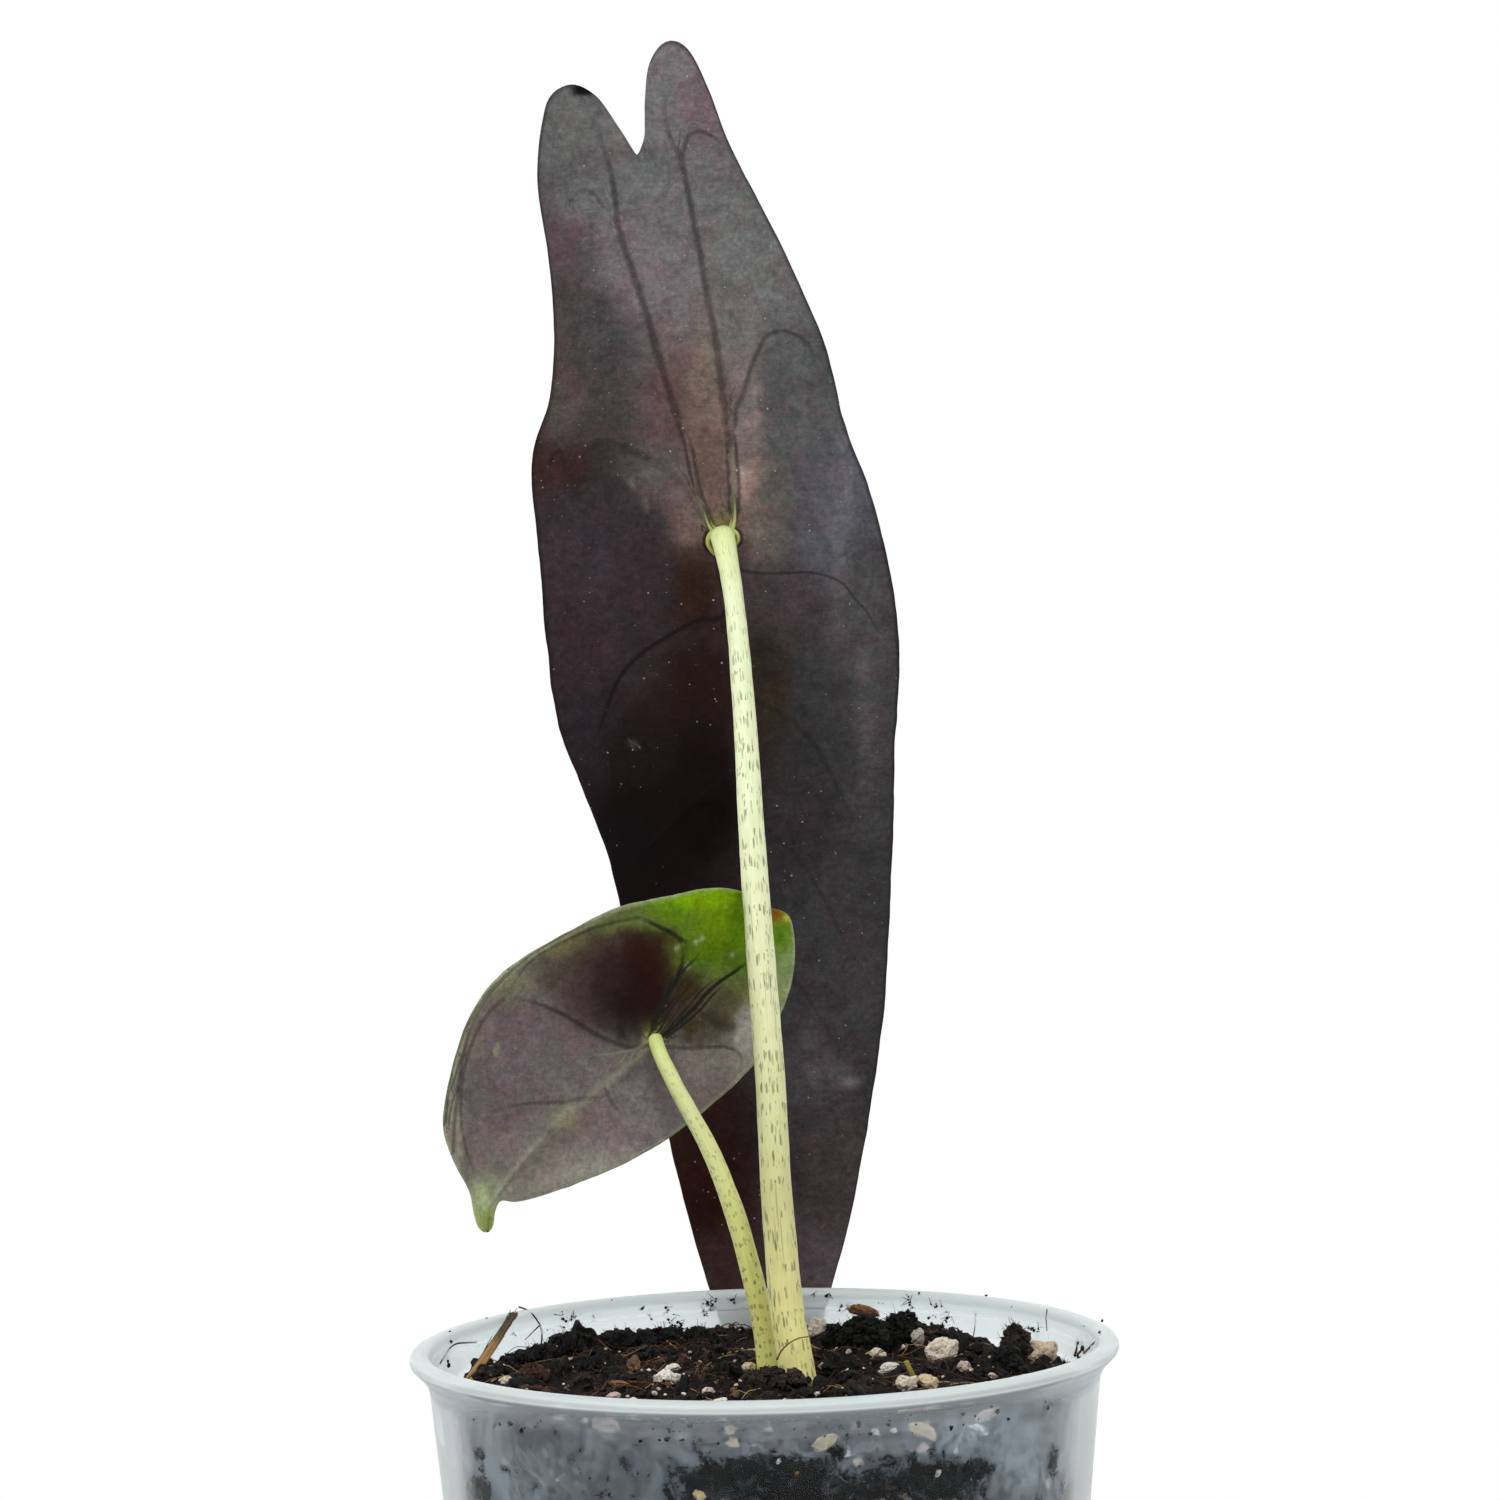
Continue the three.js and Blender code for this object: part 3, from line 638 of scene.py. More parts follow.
def on_leaf(leaf, px, py):
    """The plan point of a leaf that shows at a pixel of the picture, taking the blade as nearly flat."""
    foot, across = np.array(leaf["foot"]), np.array(leaf["across"])
    depth = foot[1]
    for _ in range(6):
        place = seen_at(px, py, depth)
        a = (place[0] - foot[0]) / across[0]
        b = place[2] - foot[2]
        bend = large_arch(b) if leaf is LARGE_LEAF else 0
        depth = foot[1] + a * across[1] + bend
    return a, b


def near_line(points, line):
    """How far each point (n, 2) is from a line of points, with a sign for the side, and how far along
    the line it is, 0 to 1."""
    line = np.array(line, float)
    lengths = np.linalg.norm(np.diff(line, axis=0), axis=1)
    starts = np.concatenate([[0], np.cumsum(lengths)])
    best, along = np.full(len(points), 1e9), np.zeros(len(points))
    for k in range(len(line) - 1):
        way = line[k + 1] - line[k]
        t = np.clip((points - line[k]) @ way / (way @ way), 0, 1)
        off = points - line[k] - t[:, None] * way
        turn = np.where(way[0] * off[:, 1] - way[1] * off[:, 0] < 0, -1, 1)
        far = np.linalg.norm(off, axis=1)
        nearer = far < np.abs(best)
        best = np.where(nearer, far * turn, best)
        along = np.where(nearer, (starts[k] + t * lengths[k]) / starts[-1], along)
    return best, along


LEAF_PIXEL = 0.139  # millimetres that a pixel of the picture spans at the leaves


def painted(plan, leaf, ground, patches):
    """A colour for each plan point: a ground colour, and soft patches at pixels of the picture, each
    [px, py, reach across in pixels, reach up, colour]."""
    total = np.full((len(plan), 1), 0.01)
    colours = total * srgb(ground)
    flat = np.hstack([plan, np.zeros((len(plan), 1))])
    shaken = plan + 1.1 * np.stack([rough(flat, 7, 3), rough(flat, 7, 9)], 1)
    shaken += 0.5 * np.stack([rough(flat, 1.8, 13), rough(flat, 1.8, 19)], 1)
    for px, py, wide, tall, colour in patches:
        a, b = on_leaf(leaf, px, py)
        far = (((shaken - [a, b]) / [wide * LEAF_PIXEL, tall * LEAF_PIXEL]) ** 2).sum(1)
        weight = ((1 + far) ** -2.6)[:, None]
        total = total + weight
        colours = colours + weight * srgb(colour)
    return colours / total


def blade(name, leaf, depth, rows, columns, thickness, under, upper, node, paint):
    """A thin blade. paint(plan, side) gives the underside's colours and how far each point stands out,
    and the same for the upper side."""
    lines = []
    for key in ("left", "midrib", "right"):
        lines.append(spaced_curve([leaf["notch"], *leaf[key], leaf["tip"]], rows))
    left, midrib, right = lines
    sides = np.linspace(-1, 1, 2 * columns + 1)
    ragged = np.stack([left, right])
    for line in ragged:
        along = np.gradient(line, axis=0)
        out = np.stack([along[:, 1], -along[:, 0]], 1) / np.linalg.norm(along, axis=1, keepdims=True)
        wobble = rough(np.hstack([line, line[:, :1]]), 5, 83, 3) * np.sin(np.linspace(0, math.pi, rows + 1))
        line += 0.13 * wobble[:, None] * out
    left, right = ragged
    margin = np.where(sides[None, :, None] < 0, left[:, None], right[:, None])
    grid = midrib[:, None] + np.abs(sides)[None, :, None] * (margin - midrib[:, None])
    index = np.arange(1, 1 + (rows - 1) * len(sides)).reshape(rows - 1, -1)
    last = index[-1, -1] + 1
    index = np.vstack([np.zeros((1, len(sides)), int), index, np.full((1, len(sides)), last)])
    plan = np.vstack([grid[0, :1], grid[1:-1].reshape(-1, 2), grid[-1, :1]])
    side = np.concatenate([[0], np.tile(sides, rows - 1), [0]])
    under_tone, under_raise, upper_tone, upper_raise, under_marks, upper_marks = paint(plan, side)
    foot, across = np.array(leaf["foot"]), np.array(leaf["across"])
    middle = foot + plan[:, :1] * across + np.stack([0 * side, depth(*plan.T, side), plan[:, 1]], 1)
    half = 0.5 * thickness * (1 - 0.6 * np.abs(side) ** 16)
    back = np.array([0, 1, 0])
    near = middle - (half + under_raise)[:, None] * back
    far = middle + (half + upper_raise)[:, None] * back
    quads = np.stack([index[:-1, :-1], index[1:, :-1], index[1:, 1:], index[:-1, 1:]], -1).reshape(-1, 4)
    shift = len(plan)
    faces = [list(dict.fromkeys(q)) for q in quads.tolist()]
    flipped = [[i + shift for i in reversed(f)] for f in faces]
    edge = []
    for column in (0, -1):
        ring = index[:, column]
        for p, q in zip(ring[:-1], ring[1:]):
            strip = [int(p), int(p + shift), int(q + shift), int(q)]
            edge.append(strip if column == 0 else strip[::-1])
    made = piece(
        name,
        np.vstack([near, far]),
        faces + flipped + edge,
        [under, upper],
        np.vstack([under_tone, upper_tone]),
        marks=dict(zip(("veins", "veinlets"), map(np.vstack, zip(under_marks, upper_marks)))),
        replaces=[node],
    )
    kinds = [0] * len(faces) + [1] * len(flipped) + [0] * len(edge)
    made.data.polygons.foreach_set("material_index", kinds)


VEIL = 0.004  # how much light the satin skin reflects besides its own colour

# Each vein is [width, darkness, the pixels that it passes]. A darkness under 0 is a pale line.
LARGE_LATERALS = [
    [0.68, 0.55, (684, 441), (679, 420), (669, 391), (658, 354), (650, 326), (642, 299), (633, 273),
     (625, 250), (618, 225), (615, 198), (612, 177), (605, 152), (596, 129), (588, 113), (584, 102)],
    [0.66, 0.55, (731, 443), (726, 414), (721, 381), (717, 347), (712, 319), (706, 290), (701, 257),
     (695, 228), (689, 198), (684, 172), (679, 156), (671, 140), (666, 122), (664, 106), (663, 80)],
    [0.4, 0.5, (681, 164), (685, 145), (689, 135), (700, 131), (713, 136), (725, 145)],
    [0.4, 0.35, (571, 198), (577, 191), (586, 188), (594, 193), (601, 204), (612, 212)],
    [0.45, 0.5, (735, 425), (736, 409), (743, 393), (750, 370), (757, 352), (766, 335), (780, 328),
     (796, 331), (808, 340), (815, 356), (817, 372)],
    [0.8, 0.3, (700, 512), (691, 496), (678, 480), (662, 467), (643, 455), (627, 448), (606, 441),
     (581, 446), (560, 448)],
    [0.35, 0.5, (560, 448), (552, 453), (547, 467)],
    [0.26, 0.55, (736, 566), (744, 571), (760, 573), (783, 573), (811, 572), (832, 577), (845, 584),
     (855, 597), (868, 611), (874, 622), (888, 640)],
    [0.42, 0.85, (728, 606), (720, 619), (701, 620), (682, 628), (669, 636), (650, 647), (632, 662),
     (618, 680), (609, 701), (602, 721), (595, 740), (588, 752)],
    [0.5, 0.3, (752, 700), (785, 716), (812, 742), (832, 776), (850, 812), (866, 840)],
    [0.5, 0.3, (742, 760), (716, 782), (686, 806), (656, 836), (632, 862)],
    [0.45, 0.25, (764, 830), (796, 856), (820, 892), (842, 936), (858, 968)],
    [0.45, 0.25, (775, 960), (802, 990), (824, 1024), (846, 1064)],
]
LARGE_VEINS = LARGE_LATERALS + [
    [1.1, 0.2, (723, 560), (732, 640), (742, 760), (757, 900), (770, 1040), (780, 1180), (790, 1300)],
    [0.36, 0.6, (709, 527), (704, 516), (698, 496), (691, 476), (684, 441), (681, 425)],
    [0.36, 0.6, (738, 513), (739, 490), (737, 460), (735, 440), (729, 420)],
    [0.36, 0.8, (707, 532), (705, 537), (704, 544), (708, 551), (713, 556), (718, 560)],
]
LARGE_UPPER = LARGE_LATERALS + [
    [0.9, 0.9, (719, 538), (706, 500), (694, 468), (684, 441), (679, 420)],
    [0.9, 0.9, (722, 538), (730, 500), (731, 443), (726, 414)],
    [1.2, 1, (720, 535), (732, 640), (742, 760), (757, 900), (770, 1040), (780, 1180), (790, 1300),
     (797, 1420)],
    [0.5, 0.9, (727, 560), (728, 590), (728, 606)],
    [0.5, 0.9, (722, 556), (730, 563), (736, 566)],
    [0.6, 0.9, (715, 532), (708, 526), (700, 512)],
]
LARGE_VEINLETS = [
    [0.28, -0.5, (705, 521), (701, 507), (697, 492), (693, 474)],
    [0.4, 0.55, (712, 520), (705, 504), (701, 493), (696, 470), (692, 447), (686, 430)],
    [0.28, -0.6, (734, 522), (734, 504), (733, 483), (732, 455), (730, 440)],
    [0.4, 0.55, (730, 512), (730, 497), (728, 470), (727, 445), (724, 425)],
    [0.32, 0.8, (737, 530), (741, 534), (742, 540), (739, 546), (736, 549)],
    [0.5, 0.6, (717, 560), (719, 572), (723, 590), (726, 606)],
]
# Each patch is [px, py, reach across, reach up, colour]. The large leaf's grey patches are painted sheen.
LARGE_TONE_AND_SHEEN_PATCHES = [
    [672, 55, 26, 30, (108, 104, 105)], [694, 100, 22, 30, (106, 94, 99)],
    [662, 120, 18, 40, (105, 104, 104)], [572, 125, 36, 44, (95, 95, 94)],
    [552, 240, 24, 40, (86, 74, 79)], [590, 195, 30, 26, (96, 95, 95)], [655, 190, 40, 46, (97, 96, 96)],
    [630, 262, 22, 44, (112, 103, 106)], [672, 290, 26, 40, (108, 101, 103)],
    [752, 262, 40, 56, (102, 102, 101)], [600, 330, 30, 40, (62, 62, 62)],
    [560, 330, 16, 60, (70, 62, 60)], [560, 392, 26, 36, (76, 68, 65)], [672, 390, 16, 44, (88, 72, 70)],
    [704, 390, 16, 46, (112, 98, 88)], [708, 455, 15, 44, (104, 84, 75)],
    [753, 484, 11, 17, (152, 132, 120)], [757, 520, 12, 22, (104, 90, 84)],
    [748, 410, 13, 36, (118, 108, 104)], [770, 500, 14, 34, (84, 82, 76)],
    [800, 400, 42, 60, (78, 78, 78)], [832, 500, 30, 60, (83, 82, 89)], [564, 466, 28, 20, (52, 36, 32)],
    [600, 480, 30, 24, (50, 44, 46)], [650, 470, 26, 18, (86, 79, 76)], [685, 505, 16, 24, (104, 90, 86)],
    [696, 530, 10, 16, (108, 90, 82)], [600, 540, 50, 44, (54, 46, 50)], [692, 590, 18, 40, (46, 30, 22)],
    [640, 590, 30, 40, (52, 42, 46)], [630, 650, 50, 40, (50, 40, 43)], [568, 650, 24, 60, (52, 42, 46)],
    [690, 680, 30, 36, (34, 22, 17)], [640, 745, 34, 34, (31, 23, 22)], [700, 790, 34, 50, (20, 11, 9)],
    [630, 840, 34, 50, (17, 10, 11)], [590, 720, 20, 40, (42, 36, 40)], [785, 600, 36, 26, (66, 57, 60)],
    [858, 620, 20, 60, (71, 70, 70)], [770, 690, 16, 60, (48, 38, 30)], [822, 700, 30, 60, (55, 54, 55)],
    [872, 760, 18, 70, (64, 62, 63)], [800, 800, 34, 60, (48, 45, 46)], [850, 900, 30, 60, (58, 56, 57)],
    [806, 960, 26, 50, (56, 54, 55)], [850, 1020, 22, 50, (60, 58, 60)],
    [815, 1075, 20, 40, (70, 68, 70)], [840, 1180, 24, 60, (70, 62, 63)],
    [700, 1190, 30, 60, (41, 23, 19)], [720, 1260, 40, 30, (61, 44, 42)],
    [810, 1260, 40, 30, (86, 75, 79)],
]


def veined(plan, leaf, veins, pull):
    """What the leaf material reads: signed distance to the nearest vein, plain distance, darkness and
    width; and how far the veins stand out."""
    read = np.tile([9.0, 9.0, 0.0, 1.0], (len(plan), 1))
    raised = np.zeros(len(plan))
    for wide, dark, *pixels in veins:
        line = spaced_curve([on_leaf(leaf, *pixel) for pixel in pixels], 4 * len(pixels))
        far, along = near_line(plan, line)
        width = wide * (1 - 0.4 * along)
        strength = dark * np.clip(4 * (1 - along), 0, 1)
        nearer = np.abs(far) < read[:, 1]
        read[nearer] = np.stack([far, np.abs(far), strength, width], 1)[nearer]
        if wide > 0.45:
            raised = np.maximum(raised, pull * wide * np.exp(-((far / (1.3 * width + 0.25)) ** 2)))
    return read, raised


# Each pale fleck is [px, py, reach across, reach up, how bright]. The tall ones on the right and the two
# faint ones by the low smear are painted sheen; the others are pale marks.
FLECKS_AND_SHEEN = [
    (644, 502, 2.2, 6, 0.6), (742, 472, 2.2, 5, 0.6), (850, 1083, 12, 6, 0.35), (838, 1068, 16, 10, 0.12),
    (812, 1078, 8, 14, 0.1), (633, 744, 4, 2.4, 0.3), (630, 482, 2.4, 4, 0.3), (700, 500, 5, 8, 0.15),
    (664, 472, 22, 6, 0.12), (840, 560, 9, 60, 0.1), (866, 700, 8, 60, 0.08), (846, 470, 8, 40, 0.1),
]


def wash(colours, share, tone):
    """Shifts colours toward a tone, by a share at each point."""
    colours += share[:, None] * (srgb(tone) - colours)


def spot(plan, place, reach):
    """A soft round spot: 1 at a place, and less away from it."""
    return np.exp(-((np.linalg.norm(plan - place, axis=1) / reach) ** 2))


def leaf_layers(plan, side, leaf, under_tones, upper_tones, veins, pull, bumps):
    """Colours of the underside, how far it stands out, the same for the upper side, and what the
    materials of both sides read. Upper tones are the ground, the veins, and how far these spread."""
    ground, vein_tone, spread = upper_tones
    under = np.maximum(painted(plan, leaf, *under_tones) - VEIL, 0.001)
    upper = np.tile(srgb(ground), (len(plan), 1))
    (lines, ridge), (fine, _), (upper_lines, _) = (veined(plan, leaf, table, pull) for table in veins)
    wash(upper, 0.4 * np.exp(-((upper_lines[:, 1] / spread) ** 2)), vein_tone)
    height, size, seed = bumps
    flat = np.hstack([plan, np.zeros((len(plan), 1))])
    raised = height * rough(flat, size, seed, 2) * (1 - np.abs(side) ** 6)
    marks = (lines, fine), (upper_lines, upper_lines)
    return under, raised + ridge, upper, -raised - 0.6 * ridge, *marks


def large_paint(plan, side):
    # The underside's patches give its own purple-black colours and, in the grey ones, painted sheen.
    under, under_raise, upper, *rest = leaf_layers(
        plan, side, LARGE_LEAF, ((46, 38, 41), LARGE_TONE_AND_SHEEN_PATCHES), ((25, 41, 30), (78, 104, 82), 1.3),
        (LARGE_VEINS, LARGE_VEINLETS, LARGE_UPPER), 0.32, (0.2, 9, 31),
    )
    wash(under, 0.7 * spot(plan, [0, 0.2], 1.7), (120, 112, 62))
    for px, py, reach in ((709, 545, 0.5), (739, 539, 0.45)):
        wash(under, 0.8 * spot(plan, on_leaf(LARGE_LEAF, px, py), reach), (150, 136, 66))
    rim = np.clip((np.abs(side) - 0.972) / 0.02, 0, 1)
    under *= (1 - 0.7 * rim)[:, None]
    upper *= (1 - 0.3 * rim)[:, None]
    # A near-black spot where the top of the left lobe curls over: painted shade of a rolled edge that is
    # not modelled.
    curl_shade = np.linalg.norm((plan - on_leaf(LARGE_LEAF, 583, 90)) / [1.7, 0.9], axis=1)
    under *= (1 - 0.97 * np.clip(2.4 - 2 * curl_shade, 0, 1))[:, None]
    # Pale marks, and painted sheen in the tall streaks on the right and beside the low smear.
    for px, py, wide, tall, bright in FLECKS_AND_SHEEN:
        off = (plan - on_leaf(LARGE_LEAF, px, py)) / [LEAF_PIXEL * wide, LEAF_PIXEL * tall]
        wash(under, bright * np.exp(-((off**2).sum(1))), (150, 146, 144))
    return under, under_raise, upper, *rest


blade(
    "large_leaf_blade", LARGE_LEAF, large_depth, 360, 36, 0.5,
    LEAF_UNDER, LEAF_UPPER, "large_blade", large_paint,
)

SMALL_MIDRIB = [
    (655, 1036), (644, 1050), (621, 1073), (592, 1096), (563, 1116), (535, 1147), (506, 1182),
    (490, 1205),
]
SMALL_LATERALS = [
    [0.45, 0.6, (650, 1044), (634, 1048), (616, 1043), (600, 1036), (580, 1024), (560, 1012), (530, 1000),
     (507, 996)],
    [0.35, 0.45, (507, 996), (488, 1014), (474, 1040), (464, 1075), (462, 1110), (468, 1150), (482, 1186)],
    [0.46, 0.95, (652, 1030), (654, 1020), (660, 1006), (669, 990), (678, 976), (683, 960), (683, 945)],
    [0.45, 0.85, (684, 942), (672, 933), (656, 925), (640, 917)],
    [0.3, 0.5, (640, 917), (600, 926), (566, 940), (530, 962), (507, 996)],
    [0.42, 0.95, (662, 1036), (668, 1032), (684, 1018), (696, 1006), (708, 992), (722, 980), (734, 972),
     (748, 962), (760, 954)],
    [0.35, 0.5, (666, 1047), (690, 1048), (710, 1047), (726, 1047), (738, 1052), (742, 1060), (738, 1072)],
    [0.35, 0.4, (590, 1098), (560, 1102), (530, 1103), (500, 1108)],
    [0.35, 0.35, (606, 1090), (612, 1102), (622, 1114)],
]
SMALL_UPPER = SMALL_LATERALS + [
    [0.8, 0.9, *SMALL_MIDRIB],
    [0.5, 0.9, (655, 1038), (652, 1030)],
    [0.5, 0.9, (655, 1038), (662, 1036)],
]
SMALL_VEINLETS = [
    [0.3, 0.9, (655, 1030), (658, 1018), (666, 1000), (676, 984), (684, 970), (696, 958), (704, 947)],
    [0.28, 0.9, (668, 1036), (684, 1024), (700, 1010), (712, 996), (726, 982)],
    [0.26, 0.8, (664, 1034), (676, 1020), (690, 1005), (702, 990), (718, 977)],
    [0.24, 0.7, (660, 1030), (668, 1014), (678, 1000), (690, 986), (698, 974)],
    [0.3, 0.6, (447, 1120), (452, 1075), (466, 1022), (488, 982), (520, 952), (560, 928), (600, 910),
     (640, 897)],
    [0.3, 0.5, (455, 1150), (458, 1100), (470, 1032), (492, 992), (524, 960), (562, 936), (602, 918),
     (640, 906)],
    [0.3, -0.35, (648, 1040), (638, 1048), (620, 1052), (590, 1056)],
    [0.3, -0.3, (640, 1056), (610, 1078), (580, 1106), (548, 1138), (514, 1176)],
]
SMALL_PATCHES = [
    [648, 986, 24, 34, (34, 12, 9)], [624, 1004, 24, 24, (26, 12, 13)], [640, 954, 26, 18, (44, 18, 13)],
    [604, 976, 22, 26, (44, 28, 31)], [600, 1012, 16, 14, (48, 36, 38)], [582, 962, 18, 18, (62, 48, 44)],
    [578, 996, 14, 20, (66, 54, 56)], [604, 945, 18, 8, (66, 54, 46)], [560, 975, 22, 18, (78, 68, 60)],
    [655, 1024, 8, 8, (70, 66, 26)], [565, 1115, 14, 8, (138, 134, 108)], [674, 945, 5, 12, (70, 72, 30)],
    [630, 922, 30, 7, (94, 106, 56)], [560, 944, 34, 10, (104, 103, 72)],
    [510, 985, 24, 14, (116, 113, 94)], [474, 1040, 12, 30, (110, 103, 94)],
    [530, 1040, 50, 30, (105, 95, 98)], [500, 1090, 30, 40, (98, 89, 92)],
    [520, 1150, 40, 34, (118, 110, 104)], [600, 1065, 40, 20, (108, 100, 96)],
    [640, 1110, 50, 30, (114, 104, 106)], [700, 1085, 30, 26, (114, 106, 102)],
    [580, 1170, 50, 14, (136, 134, 124)], [716, 1058, 22, 8, (126, 120, 110)],
    [742, 1032, 14, 14, (148, 146, 136)], [712, 1024, 16, 7, (64, 54, 42)],
    [690, 992, 10, 16, (54, 44, 24)], [694, 1030, 10, 6, (56, 48, 28)], [726, 1003, 14, 12, (80, 76, 48)],
    [746, 985, 12, 14, (98, 110, 60)], [712, 900, 44, 10, (124, 166, 0)],
    [672, 912, 20, 10, (90, 124, 14)], [735, 925, 30, 20, (102, 138, 4)],
    [705, 945, 22, 14, (84, 114, 12)], [735, 958, 18, 12, (90, 118, 32)],
    [782, 932, 12, 16, (98, 132, 14)], [786, 975, 8, 26, (130, 150, 96)],
    [454, 1130, 6, 50, (138, 134, 118)], [486, 1200, 12, 12, (176, 186, 142)],
    [487, 1220, 12, 12, (168, 184, 112)],
]


def small_paint(plan, side):
    under, under_raise, *rest = leaf_layers(
        plan, side, SMALL_LEAF, ((108, 99, 98), SMALL_PATCHES), ((32, 54, 34), (84, 112, 84), 0.9),
        (SMALL_LATERALS, SMALL_VEINLETS, SMALL_UPPER), 0.25, (0.15, 6, 47),
    )
    midrib = spaced_curve([on_leaf(SMALL_LEAF, *pixel) for pixel in SMALL_MIDRIB], 40)
    far, along = near_line(plan, midrib)
    flat = np.hstack([plan, np.zeros((len(plan), 1))])
    blotched = 0.45 + 0.4 * rough(flat, 4, 91, 2)
    wash(under, np.exp(-((far / (0.7 - 0.4 * along)) ** 2)) * np.clip(blotched, 0.1, 0.7), (144, 140, 122))
    under_raise += 0.3 * np.exp(-((far / (0.75 - 0.4 * along)) ** 2))
    wash(under, 0.8 * spot(plan, [0, -0.2], 1.25), (170, 178, 92))
    wash(under, 0.7 * np.clip((np.abs(side) - 0.945) / 0.04, 0, 1), (150, 158, 124))
    for px, py, reach, colour in ((777, 914, 0.9, (150, 60, 16)), (786, 917, 0.5, (196, 190, 60))):
        wash(under, 0.9 * spot(plan, on_leaf(SMALL_LEAF, px, py), reach), colour)
    for px, py in ((696, 942), (732, 954), (677, 948), (702, 938), (688, 966), (499, 1047), (497, 1052)):
        wash(under, 0.6 * spot(plan, on_leaf(SMALL_LEAF, px, py), 0.33), (170, 190, 140))
    return under, under_raise, *rest


blade(
    "small_leaf_blade", SMALL_LEAF, small_depth, 150, 34, 0.5,
    SMALL_UNDER, LEAF_UPPER, "small_blade", small_paint,
)

# Leaf stalks: each station is [x, y, z, radius], from inside the rhizome up to the blade

LARGE_STALK = [
    (5.6, 1.6, 58, 2.3), (5, 0.7, 68, 2.35), (4.1, 0.1, 76, 2.3), (3.1, 0.5, 83, 2.2), (2.1, 2.4, 97.3, 2),
    (1.6, 5.8, 112.4, 1.95), (0.8, 10.3, 127.6, 1.88), (0, 15.9, 143.1, 1.74), (-0.6, 22.8, 159, 1.55),
    (-1.5, 29.8, 173.4, 1.35), (-2.2, 33, 179.4, 1.4), (-2.8, 35.4, 183, 1.6), (-3.1, 37.3, 184.6, 1.7),
]
SMALL_STALK = [
    (1.6, 4.6, 59, 1.4), (0.8, 5.6, 68, 1.4), (0.3, 6, 77, 1.4), (-0.2, 6, 81.5, 1.4), (-1.5, 6, 88, 1.38),
    (-3.6, 6, 96, 1.3), (-6.4, 6, 103.6, 1.16), (-10.4, 6.3, 111.4, 1.04), (-12.5, 7.6, 115.8, 0.98),
    (-13.3, 9.6, 117.8, 1),
]


def stalk(name, stations, node, look, heights):
    """A stalk through stations. Heights holds its colour at some heights: [z, red, green, blue]."""
    sides, steps = 32, 200
    points, faces, unrolled = tube(stations, sides, steps)
    rings = points.reshape(-1, sides, 3)
    centre = rings.mean(1, keepdims=True)
    swell = 1 + 0.03 * rough(points * [1, 1, 0.25], 1.6, 61, 2).reshape(-1, sides, 1)
    points = (centre + (rings - centre) * swell).reshape(-1, 3)
    z, *channels = np.array(heights, float).T
    tone = np.stack([np.interp(points[:, 2], z, channel) for channel in srgb(channels)], 1)
    fresh = np.clip((points[:, 2] - stations[-1][2] + 9) / 9, 0, 1)[:, None]
    tone = tone * (1 - 0.3 * fresh * [0.2, 0.1, 1])
    piece(name, points, faces, look, tone, replaces=[node], unrolled=unrolled)


stalk("large_stalk", LARGE_STALK, "large_petiole", LARGE_SKIN, [
    (76, 255, 250, 166), (86, 234, 230, 156), (98, 208, 206, 146), (122, 222, 225, 178),
    (150, 228, 236, 196),
])
stalk("small_stalk", SMALL_STALK, "small_petiole", SMALL_SKIN, [
    (76, 236, 234, 142), (92, 222, 224, 138), (112, 216, 224, 166),
])


def on_underside(px, py, proud):
    """The place on the large leaf's underside that shows at a pixel, standing proud of it a little."""
    a, b = on_leaf(LARGE_LEAF, px, py)
    y = LARGE_LEAF["foot"][1] + float(large_depth(a, b, 0.1)) - 0.25 - proud
    return seen_at(px, py, y)


# The stalk's top spreads into two forked ridges, that run on as the blade's veins, and two small ears.
# Each is [thick radius, thin radius, colour, end colour, the pixels that it passes].
LIME, OLIVE, UMBER = (186, 196, 116), (140, 132, 62), (72, 62, 54)
COLLAR = [
    [0.36, 0.05, LIME, UMBER, (717, 534), (711, 529), (706, 518), (703, 506)],
    [0.26, 0.05, LIME, UMBER, (719, 530), (713, 526), (710, 519)],
    [0.36, 0.06, LIME, UMBER, (731, 532), (734, 523), (735, 508), (734, 494)],
    [0.26, 0.05, LIME, UMBER, (729, 530), (731, 523), (731, 514)],
    [0.42, 0.22, LIME, OLIVE, (713, 532), (709, 537), (708, 543), (711, 550), (715, 555)],
    [0.36, 0.2, LIME, OLIVE, (732, 530), (737, 534), (738, 540), (735, 545)],
]
threads(
    "large_stalk_collar",
    [[[on_underside(*pixel, 0.2) for pixel in row[4:]], *row[:4]] for row in COLLAR],
    COLLAR_SKIN, 8, ["large_petiole"],
)

# Pot: a thin tapered cup with a rolled rim

POT_HEIGHT = 80
RIM_RADIUS = 45
NECK_RADIUS = 42.6
FOOT_RADIUS = 35
WALL = 1
FLOOR = 1.2
STEP_Z = POT_HEIGHT - 2.7
POT_SIDES = 264


def inner_radius(z):
    share = (z - FLOOR) / (STEP_Z - FLOOR)
    return FOOT_RADIUS * (1 - share) + NECK_RADIUS * share - WALL


OUTER_FROSTED = frosted_look("pot_outer_face", False)
INNER_FROSTED = frosted_look("pot_inner_face", True)


def in_front_wall(x, y, z):
    return math.hypot(x, y) < inner_radius(z)


